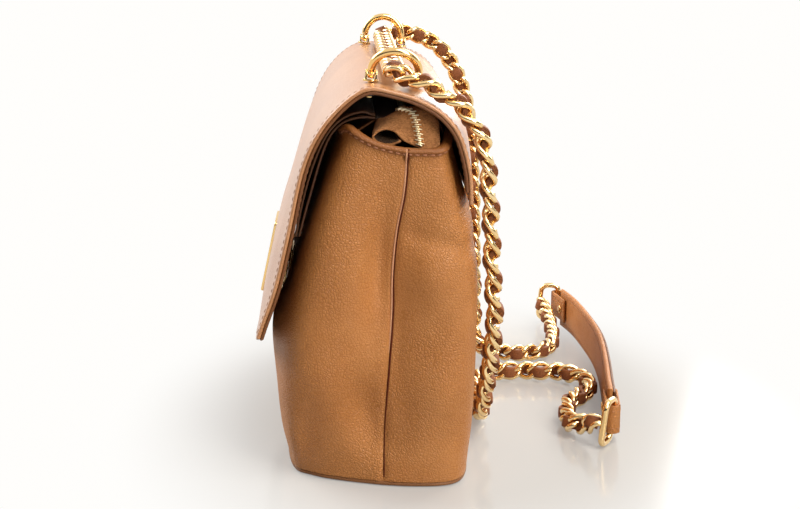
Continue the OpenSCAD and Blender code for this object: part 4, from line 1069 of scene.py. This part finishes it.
# a sheet of the flap between two depths under its outer face
def flapSheet(look, top, bottom, last, edge=0.0):
    thick = bottom - top
    length = look["length"] - 2 * edge
    alongX = edgeSteps(length, thick / 2, 90)
    u = (alongX + edge) / look["length"] * 2 - 1
    line = flapLine(look, (top + bottom) / 2)[:last + 1]
    run = runAlong(line)
    s = edgeSteps(run[-1], thick / 2, 110)
    where = np.interp(s, run, np.arange(len(run)))
    bend = look["bend"]
    t = np.where(where <= bend, where / bend, 1 + (where - bend) / (last - bend))
    middle = flapPoint(look, u[None], t[:, None], (top + bottom) / 2, last)
    normal = gridNormals(middle)
    normal = normal * np.sign(normal[60, 40, 2])
    drop = np.linalg.norm(middle - middle[:1], axis=-1)
    gap = np.minimum(np.minimum(alongX, length - alongX)[None], np.minimum(drop, (run[-1] - s)[:, None]))
    return middle, normal, gap


def foldOver(piece):
    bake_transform(piece)


liningBottom = flapLook["outer"] + flapLook["lining"]
outerSheet = flapSheet(flapLook, 0.0, flapLook["outer"], flapLook["last"])
liningSheet = flapSheet(flapLook, flapLook["outer"], liningBottom, flapLook["liningLast"], 0.3)
flapOuter = sheetPiece("flapOuterLeather", *outerSheet, flapLook["outer"], flapLitCamel, "grained_leather",
                       None, ("flap_top_outer", "flap_front_outer"))
foldOver(flapOuter)
flapInner = sheetPiece("flapLiningLeather", *liningSheet, flapLook["lining"], brownLining, "smooth_leather",
                       None, ("flap_top_lining", "flap_front_lining"))
foldOver(flapInner)


# stitching round the flap, in from its edges, on the outer face and the lining
def flapStitches(look):
    rows = []
    edge = 1 - 2 * look["stitchIn"] / look["length"]
    down, over = np.linspace(0.035, 1.93, 500), np.linspace(-edge, edge, 300)

    # a row at (u, t), with a step (du, dt) beside it that gives its outward direction
    def addRow(depth, sign, u, t, du, dt, turn, outward):
        line = flapPoint(look, u, t, depth, look["last"])
        beside = flapPoint(look, u + du, t + dt, depth, look["last"])
        n = unit(np.cross(tangents(line), unit(beside - line))) * turn
        n = n * np.sign((n * sign * np.array(outward)).sum(1).mean())
        rows.append(stitchRow(line, n, look["thread"], 0.0))

    for depth, sign in ((0.0, 1), (liningBottom, -1)):
        for side in (-1, 1):
            addRow(depth, sign, side * edge, down, -0.02 * side * edge, 0, -side, (0, -0.7, 0.7))
        addRow(depth, sign, over, 0.035, 0, 0.01, 1, (0, -0.9, 0.1))
    addRow(0.0, 1, over, 1.955, 0, 0.01, 1, (0, 0.9, 0.1))
    return joined(rows)


foldOver(makePiece("flapStitching", *flapStitches(flapLook), seamThread, "grained_leather"))
print("flap made")


# slip pocket under the flap: two plies hung over the front rim

pocketLook = {
    "length": 226.0, "thick": 1.2, "depth": 107.0, "rim": 182.0,
    "back": [[-0.0318, 1.0407], [-0.0561, 1.0412], [-0.0841, 1.0429], [-0.1402, 1.0379],
             [-0.1916, 1.0247], [-0.2355, 1], [-0.2692, 0.9643], [-0.3028, 0.9093],
             [-0.3346, 0.8462], [-0.3701, 0.7747], [-0.4, 0.7088]],
    "front": [[-0.0318, 1.0484], [-0.0561, 1.0511], [-0.0841, 1.0571], [-0.1449, 1.0505],
              [-0.2009, 1.033], [-0.2523, 1.0022], [-0.2916, 0.9615], [-0.3299, 0.9066],
              [-0.3626, 0.8462], [-0.3935, 0.7747], [-0.4159, 0.7088]],
}


# a sheet carried straight along the bag over a line of (y, z), its thickness above the line
def spanSheet(name, line, length, thick, counts, material, slotName, stands):
    route, s = densePath(np.concatenate([np.zeros((len(line), 1)), line], 1), 0.25)
    along = edgeSteps(s[-1], thick / 2, counts[0])
    at = readAt(along, s, route)
    t = tangents(at)
    n = np.stack([0 * t[:, 0], -t[:, 2], t[:, 1]], 1)
    x = edgeSteps(length, thick / 2, counts[1])
    middle = at[:, None] + n[:, None] * thick / 2 + np.zeros((1, len(x), 3))
    middle[..., 0] = x[None] - length / 2
    normal = np.broadcast_to(n[:, None], middle.shape)
    gap = edgeGap(along, s[-1], x, length)
    return sheetPiece(name, middle, normal, gap, thick, material, slotName, "bag", stands)


def pocketPly(name, look, line, stands):
    line = np.array(line) * [look["depth"], look["rim"]]
    spanSheet(name, line, look["length"], look["thick"], (40, 60), shadedPly, "smooth_leather", stands)


pocketPly("pocketBackPly", pocketLook, pocketLook["back"], ("pocket_back_ply",))
pocketPly("pocketFrontPly", pocketLook, pocketLook["front"], ("pocket_front_ply",))
print("pocket made")


# zip: facings, tapes, interlocked teeth, and the suede tails at its two ends

zipLook = {
    "y": 107 * 0.112, "z": 187.0, "length": 216.0, "width": 30.0, "tape": 1.0, "teeth": 5.0, "pitch": 2.3,
    "facing": 1.2, "lap": 3.4, "level": 0.975, "tailThick": 1.15, "tailReach": 17, "tailWidth": 42,
    "tailToothLift": 0.8, "tailToothSize": (0.66, 1.22, 1.1), "shadeIn": 0.72, "shadeThick": 0.1,
}


# a facing: a strip of leather from the panel's inside up to the zip and over its tape's edge
def zipFacing(name, look, half, stands):
    count = 60
    theta = np.linspace(np.radians(55), np.radians(125), count)
    wallLine = wallPoint(bodyLook, half, theta, look["level"], bodyLook["panel"] + 0.3)
    edge = look["y"] + half * look["width"] / 2
    outer, inner = wallLine.copy(), wallLine.copy()
    outer[:, 1:] = edge + half * look["facing"], look["z"]
    inner[:, 1:] = edge - half * look["lap"], look["z"]
    v = edgeSteps(1.0, 0.06, 12)[:, None, None]
    first = wallLine[None] * (1 - v) + outer[None] * v
    second = outer[None] * (1 - v) + inner[None] * v
    middle = np.concatenate([first[:-1], second])
    middle[..., 2] -= look["facing"] / 2
    normal = gridNormals(middle)
    normal = normal * np.sign(normal[..., 2:3].mean())
    ends = np.minimum(np.arange(count), count - 1 - np.arange(count)) * 3.6
    run = np.linalg.norm(np.diff(middle, axis=0, prepend=middle[:1]), axis=-1).cumsum(0)
    gap = np.minimum(ends[None], np.minimum(run, run[-1:] - run))
    thick = look["facing"] * 0.96
    return sheetPiece(name, middle, normal, gap, thick, brownLining, "smooth_leather", "bag", stands)


zipFacing("zipFrontFacing", zipLook, -1, ("zip_facing_front",))
zipFacing("zipBackFacing", zipLook, 1, ("zip_facing_back",))


def zipTape(name, look, side, stands):
    w = (look["width"] - look["teeth"]) / 2
    low = look["y"] + (look["teeth"] / 2 if side > 0 else -look["teeth"] / 2 - w)
    line = [(low, look["z"]), (low + w, look["z"])]
    spanSheet(name, line, look["length"], look["tape"], (10, 50), tapeCloth, "lining_cloth", stands)


zipTape("zipFrontTape", zipLook, -1, ("zip_tape_front",))
zipTape("zipBackTape", zipLook, 1, ("zip_tape_back",))


# a tail: the zip's end arches up, leans to the back and turns down over the rim,
# and its front edge rolls under into a small tunnel. Each row of [out, across, up]
# crosses it from the rolled edge to the back edge, at equal steps outwards.
tailRows = [
    [[0, 7, -6.6], [0, 3, -7.4], [0, -1.6, -6.2], [0, -3.2, -2.6], [0, -1.6, 0], [0, 1.6, 0.3],
     [0, 4.6, 0.2], [0, 7.6, 0.1], [0, 11, 0], [0, 16.4, 0], [0, 22, 0], [0, 27, 0]],
    [[3, 7, -7.6], [3, 3, -8.4], [3, -2, -7.6], [3, -3.8, -4.2], [3, -2.0, -1.2], [3, 1.2, 0.9],
     [3, 4, 2.4], [3, 6.4, 3.5], [3, 9, 4.4], [3, 15, 5.3], [3, 21.6, 4.0], [3, 26.4, 1.2]],
    [[6.5, 7.4, -8.2], [6.5, 3, -9.2], [6.5, -2, -8.6], [6.5, -4.4, -5.6], [6, -2.4, -2.6], [5.6, 1.2, 0.0],
     [5.4, 4.4, 2.0], [5.4, 7, 3.7], [5.6, 10.4, 5.3], [5.8, 17, 6.4], [5.8, 23.4, 4.5], [5.6, 27.2, 0.6]],
    [[10, 8.4, -8.6], [10, 3.6, -10.0], [10, -2, -9.4], [10, -4.7, -6.4], [10, -2.8, -3.4],
     [9.6, 1.5, -1.3], [9, 5.6, -0.2], [8.8, 9.4, 1.0], [9.2, 15.6, 2.8], [9.4, 20.6, 2.2],
     [9.4, 24.8, 0.2], [8.8, 27.8, -3.0]],
    [[13.4, 9.0, -8.8], [13.4, 4, -10.6], [13.4, -1.5, -10.0], [13.4, -4.8, -7.0], [13.2, -2.4, -4.2],
     [13, 2.1, -3.0], [12.8, 6.6, -5.0], [12.8, 10.4, -9.0], [13.4, 18.6, -12.6], [13.6, 22.4, -13.4],
     [13.6, 25.6, -13.4], [13, 28.2, -12.6]],
]


# place on a tail: v from 0 to 1 outwards, w from 0 to 1 across, smooth both ways
def tailPoint(look, v, w, side):
    rows = np.array(tailRows, float)
    cols = rows.shape[1]
    along = readTable(rows.reshape(len(rows), -1), v).reshape(len(v), cols, 3)
    both = readTable(along.transpose(1, 0, 2).reshape(cols, -1), w).reshape(len(w), len(v), 3)
    point = both.transpose(1, 0, 2)
    return point * [side, 1, 1] + [side * (look["length"] / 2 + 0.3), 0, look["z"] + look["tape"] / 2]


def zipTails(look, stands):
    tails, shade = [], []
    for side in (1, -1):
        w, v = edgeSteps(1.0, 0.012, 70), edgeSteps(1.0, 0.03, 34)
        middle = tailPoint(look, v, w, side)
        normal = gridNormals(middle)
        normal = normal * np.sign(normal[20, 50, 2])
        reach, width = look["tailReach"], look["tailWidth"]
        gap = edgeGap(v * reach, reach, w * width, width)
        tails.append(roundedSheet(middle, normal, gap, look["tailThick"]))
        # painted shade inside the rolled edge: a nearly black skin just inside the roll, standing in for the
        # shade in the tail's tunnel
        w, v = np.linspace(0.02, 0.6, 40), np.linspace(0.05, 0.985, 30)
        middle = tailPoint(look, v, w, side)
        normal = gridNormals(middle)
        heart = middle * [1, 0, 0] + [0, 2.0, look["z"] - 5.0]
        normal = normal * np.sign((normal * (heart - middle)).sum(-1, keepdims=True))
        middle = middle + normal * look["shadeIn"]
        shade.append(roundedSheet(middle, normal, np.ones(middle.shape[:2]), look["shadeThick"]))
    makePiece("zipSuedeTails", *joined(tails), tailSuede, "lining_cloth", "bag", stands, merge=1e-7)
    makePiece("zipTailShadeSkinPieces", *joined(shade), tailShade, "lining_cloth", "bag")


zipTails(zipLook, ("zip_tails",))


# one tooth, as rings of (place across, half width, half height): a rounded stub that
# grips the tape, with a wider nose over the middle
toothRings = [(-1.35, 0.30, 0.5), (-1.2, 0.48, 0.95), (0.1, 0.46, 1.0), (0.55, 0.62, 1.08),
              (1.25, 0.6, 1.05), (1.5, 0.42, 0.7)]


def toothShape():
    rings = []
    for at, wide, tall in toothRings:
        profile = roundProfile(2 * wide, 2 * tall, 0.28, 1)
        rings.append(np.stack([profile[:, 0], np.full(len(profile), at), profile[:, 1]], 1))
    rings = np.array(rings)
    return rings.reshape(-1, 3), capFans(rings)


# two rows of teeth along a line, half a pitch apart, each on its own side of it
def teethAlong(line, across, up, pitch, size=1.0):
    run = runAlong(line)
    shape, faces = toothShape()
    parts = []
    for side in (1, -1):
        s = np.arange(pitch * (0.5 if side > 0 else 1.0), run[-1], pitch)
        p, b, n = readAt(s, run, line), unit(readAt(s, run, across)), unit(readAt(s, run, up))
        local = (shape * size * [side, side, 1] - [0, side * 0.75, 0]) * [1, -1, 1]
        moved = sweepPoints(p, np.cross(b, n), b, local[:, :2]) + n[:, None] * local[None, :, 2:3]
        parts += [(block, faces) for block in moved]
    return parts


def zipTeeth(look, stands):
    x = np.linspace(-look["length"] / 2 + 1, look["length"] / 2 - 0.5, 400)
    line = np.stack([x, look["y"] + 0 * x, look["z"] + look["tape"] / 2 + 0 * x], 1)
    across, up = np.tile([0.0, 1.0, 0.0], (len(x), 1)), np.tile([0.0, 0.0, 1.0], (len(x), 1))
    parts = teethAlong(line, across, up, look["pitch"])
    for side in (1, -1):
        strip = tailPoint(look, np.linspace(0.02, 0.985, 120), np.array([0.715, 0.727, 0.739]), side)
        line = strip[:, 1]
        across = unit(strip[:, 2] - strip[:, 0])
        up = np.cross(tangents(line), across)
        up = up * np.sign(up[10, 2])
        line = line + up * look["tailToothLift"]
        parts += teethAlong(line, across, up, look["pitch"], np.array(look["tailToothSize"]))
    return makePiece("zipGoldTeeth", *joined(parts), toothLitGold, "gold_metal", "bag", stands)


zipTeeth(zipLook, ("zip_teeth",))
easedCopy("zipSliderBody", "zip_slider", 0.25, gold, "zip_slider")
easedCopy("zipPullerTab", "zip_puller", 0.2, gold, "zip_puller")
print("zip made")


# inside: the lining pouch, hanging a little loose

pouchLook = {
    "inset": 4.7, "top": 0.95, "bottom": 0.06, "walls": 40, "floors": (0.99, 0.9, 0.6, 0.3, 0.05),
    "floorZ": 4.7, "thick": 0.6, "slack": 0.9,
}


def liningPouch(look, stands):
    rings = []
    for level in np.linspace(look["top"], look["bottom"], look["walls"]):
        ring = planRing(level, look["inset"])
        wave = look["slack"] * (ripples(ring[:, 0], ring[:, 2] + ring[:, 1], 51, 55) - 1)
        wave = wave * ease(look["top"] - level, 0, 0.2)
        rings.append(ring + unit((ring - [0, 5, 0]) * [0.35, 1, 0]) * wave[:, None])
    lowest = rings[-1]
    for share in look["floors"]:
        ring = (lowest - [0, 2, 0]) * share + [0, 2, 0]
        ring[:, 2] = look["floorZ"]
        rings.append(ring)
    rings = np.array(rings)
    inner = rings.copy()
    inner[:, :, :2] -= unit((rings - [0, 5, 0]) * [0.35, 1, 0])[:, :, :2] * look["thick"]
    inner[look["walls"]:, :, 2] += look["thick"]
    both = np.concatenate([rings[::-1], inner])
    return makePiece("liningPouchCloth", both, capFans(both), liningCloth, "lining_cloth", "bag", stands)


liningPouch(pouchLook, ("lining",))


# fittings: the arches with their seats and screws, the lock's case on the front
# panel, and the plates and stud on the flap, as rows of node, piece, ease and body
fittings = [
    (gold, "gold_metal", 1, [
        ("arch_near", "archNearBow", 0.12, "arch_near"), ("arch_far", "archFarBow", 0.12, "arch_far")]),
    (gold, "gold_metal", 2, [
        ("arch_seats", "archSeats", 0.25, "bag"), ("arch_pins", "archPins", 0.15, "bag"),
        ("arch_screws", "archScrews", 0.2, "bag")]),
    (steel, "backing_steel", 2, [("arch_backings", "archBackings", 0.2, "bag")]),
    (lockGold, "gold_metal", 2, [
        ("lock_base_plate", "lockBasePlate", 0.25, "bag"), ("lock_front_plate", "lockFrontPlate", 0.3, "bag"),
        ("lock_block", "lockLowerBlock", 0.3, "bag"), ("lock_bolt", "lockSpringBolt", 0.2, "lock_bolt"),
        ("lock_screws", "lockScrews", 0.15, "bag"), ("flap_plate_outer", "flapOuterPlate", 0.6, "flap"),
        ("flap_plate_inner", "flapInnerPlate", 0.3, "flap"), ("lock_stud", "lockStudPin", 0.5, "flap"),
        ("flap_plate_screws", "flapPlateScrews", 0.15, "flap")]),
    (brownLining, "grained_leather", 2, [("lock_spacer", "lockLeatherSpacer", 0.3, "bag")]),
    (steel, "backing_steel", 2, [("lock_backing", "lockBackingPlate", 0.2, "bag")]),
]
for material, slotName, segments, rows in fittings:
    for node, name, width, body in rows:
        easedCopy(name, node, width, material, body, segments)
print("fittings made")


# studio: pale floor, white surroundings that are darker behind the camera, soft lamps

studioLook = {
    "floor": (0.44, 0.42, 0.39), "floorGloss": 0.14, "glowNear": 0.22, "glowFar": 1.0, "sky": 0.14,
    "size": 9000.0, "floorZ": -0.3,
}


# a net's light path: what the camera sees, and what is seen in a gloss
def lightPath(net):
    outputs = net.node("LightPath").socket.node.outputs
    return Wire(net, outputs["Is Camera Ray"]), Wire(net, outputs["Is Glossy Ray"])


def makeFloor(look):
    size, low = look["size"], look["floorZ"]
    corners = [(-size, -size, low), (size, -size, low), (size, size, low), (-size, size, low)]
    net = Net("StudioFloor")
    place = net.place()
    mottle = net.noise(place, 3.0, 2.0, 0.5)
    diffuse = net.node("BsdfPrincipled", {}, {
        "Base Color": net.tint(mottle, tuple(c * 0.985 for c in look["floor"]), look["floor"]),
        "Roughness": look["floorGloss"], "Specular IOR Level": 0.35})
    glow = net.node("Emission", {}, {"Color": (1.0, 0.99, 0.97, 1), "Strength": 1.0})
    seen, mirrored = lightPath(net)
    # the floor glows white at a distance and less so near the bag, where its shadow falls
    around = net.vector("MULTIPLY", net.vector("SUBTRACT", place, (0.02, 0.05, 0)), (0.8, 1, 0))
    away = net.slope(net.vector("LENGTH", around, (0, 0, 0), 1), 0.09, 0.21)
    strength = look["glowNear"] + away * (look["glowFar"] - look["glowNear"])
    share = net.calc("MAXIMUM", seen, mirrored) * strength
    mix = net.node("MixShader", {}, {0: share, 1: diffuse, 2: glow})
    net.node("OutputMaterial", {}, {"Surface": mix})
    makePiece("studioFloor", corners, [[0, 1, 2, 3]], net.material, "board")


def makeWorld(look):
    world = bpy.data.worlds.new("StudioWorld")
    bpy.context.scene.world = world
    world.use_nodes = True
    net = Net("StudioWorld", world.node_tree)
    seen, mirrored = lightPath(net)
    x = net.node("SeparateXYZ", {}, {0: net.node("TexCoord", {}, {}, "Generated")}, 0)
    z = Wire(net, x.socket.node.outputs[2])
    level = 1.0 - net.slope(x, -0.25, 0.45) * net.slope(0.75 - z, 0.0, 0.5) * 0.93
    shine = net.node("Background", {}, {"Color": (1.0, 0.985, 0.96, 1), "Strength": level})
    lit = net.node("Background", {}, {"Color": (1.0, 0.98, 0.95, 1), "Strength": look["sky"]})
    white = net.node("Background", {}, {"Color": (1, 1, 1, 1), "Strength": 1.0})
    glossy = net.node("MixShader", {}, {0: mirrored, 1: lit, 2: shine})
    mix = net.node("MixShader", {}, {0: seen, 1: glossy, 2: white})
    net.node("OutputWorld", {}, {"Surface": mix})


def softLamp(name, place, aim, size, power):
    data = bpy.data.lights.new(name, "AREA")
    data.shape = "RECTANGLE"
    data.size, data.size_y = size
    data.energy = power
    data.color = (1.0, 0.97, 0.93)
    toward = unit(np.array(aim, float) - np.array(place, float))
    across = unit(np.cross(toward, [0.0, 0.0, 1.0]))
    setPlace(addObject(name, data), across, np.cross(across, toward), -toward, place)


makeFloor(studioLook)
makeWorld(studioLook)
softLamp("keyBackLeft", (-0.75, -1.15, 1.1), (0, -0.03, 0.14), (1.1, 1.0), 32.0)
softLamp("backRight", (-1.1, 0.9, 0.9), (0, 0.06, 0.1), (1.0, 0.9), 24.0)
softLamp("topFront", (0.55, 0.5, 1.2), (0.1, 0.02, 0.1), (0.7, 0.7), 15.0)
softLamp("frontRight", (1.3, 0.85, 0.7), (0.1, 0.02, 0.09), (0.5, 0.5), 13.0)
bpy.context.scene.view_settings.view_transform = "Standard"
print("studio lit")
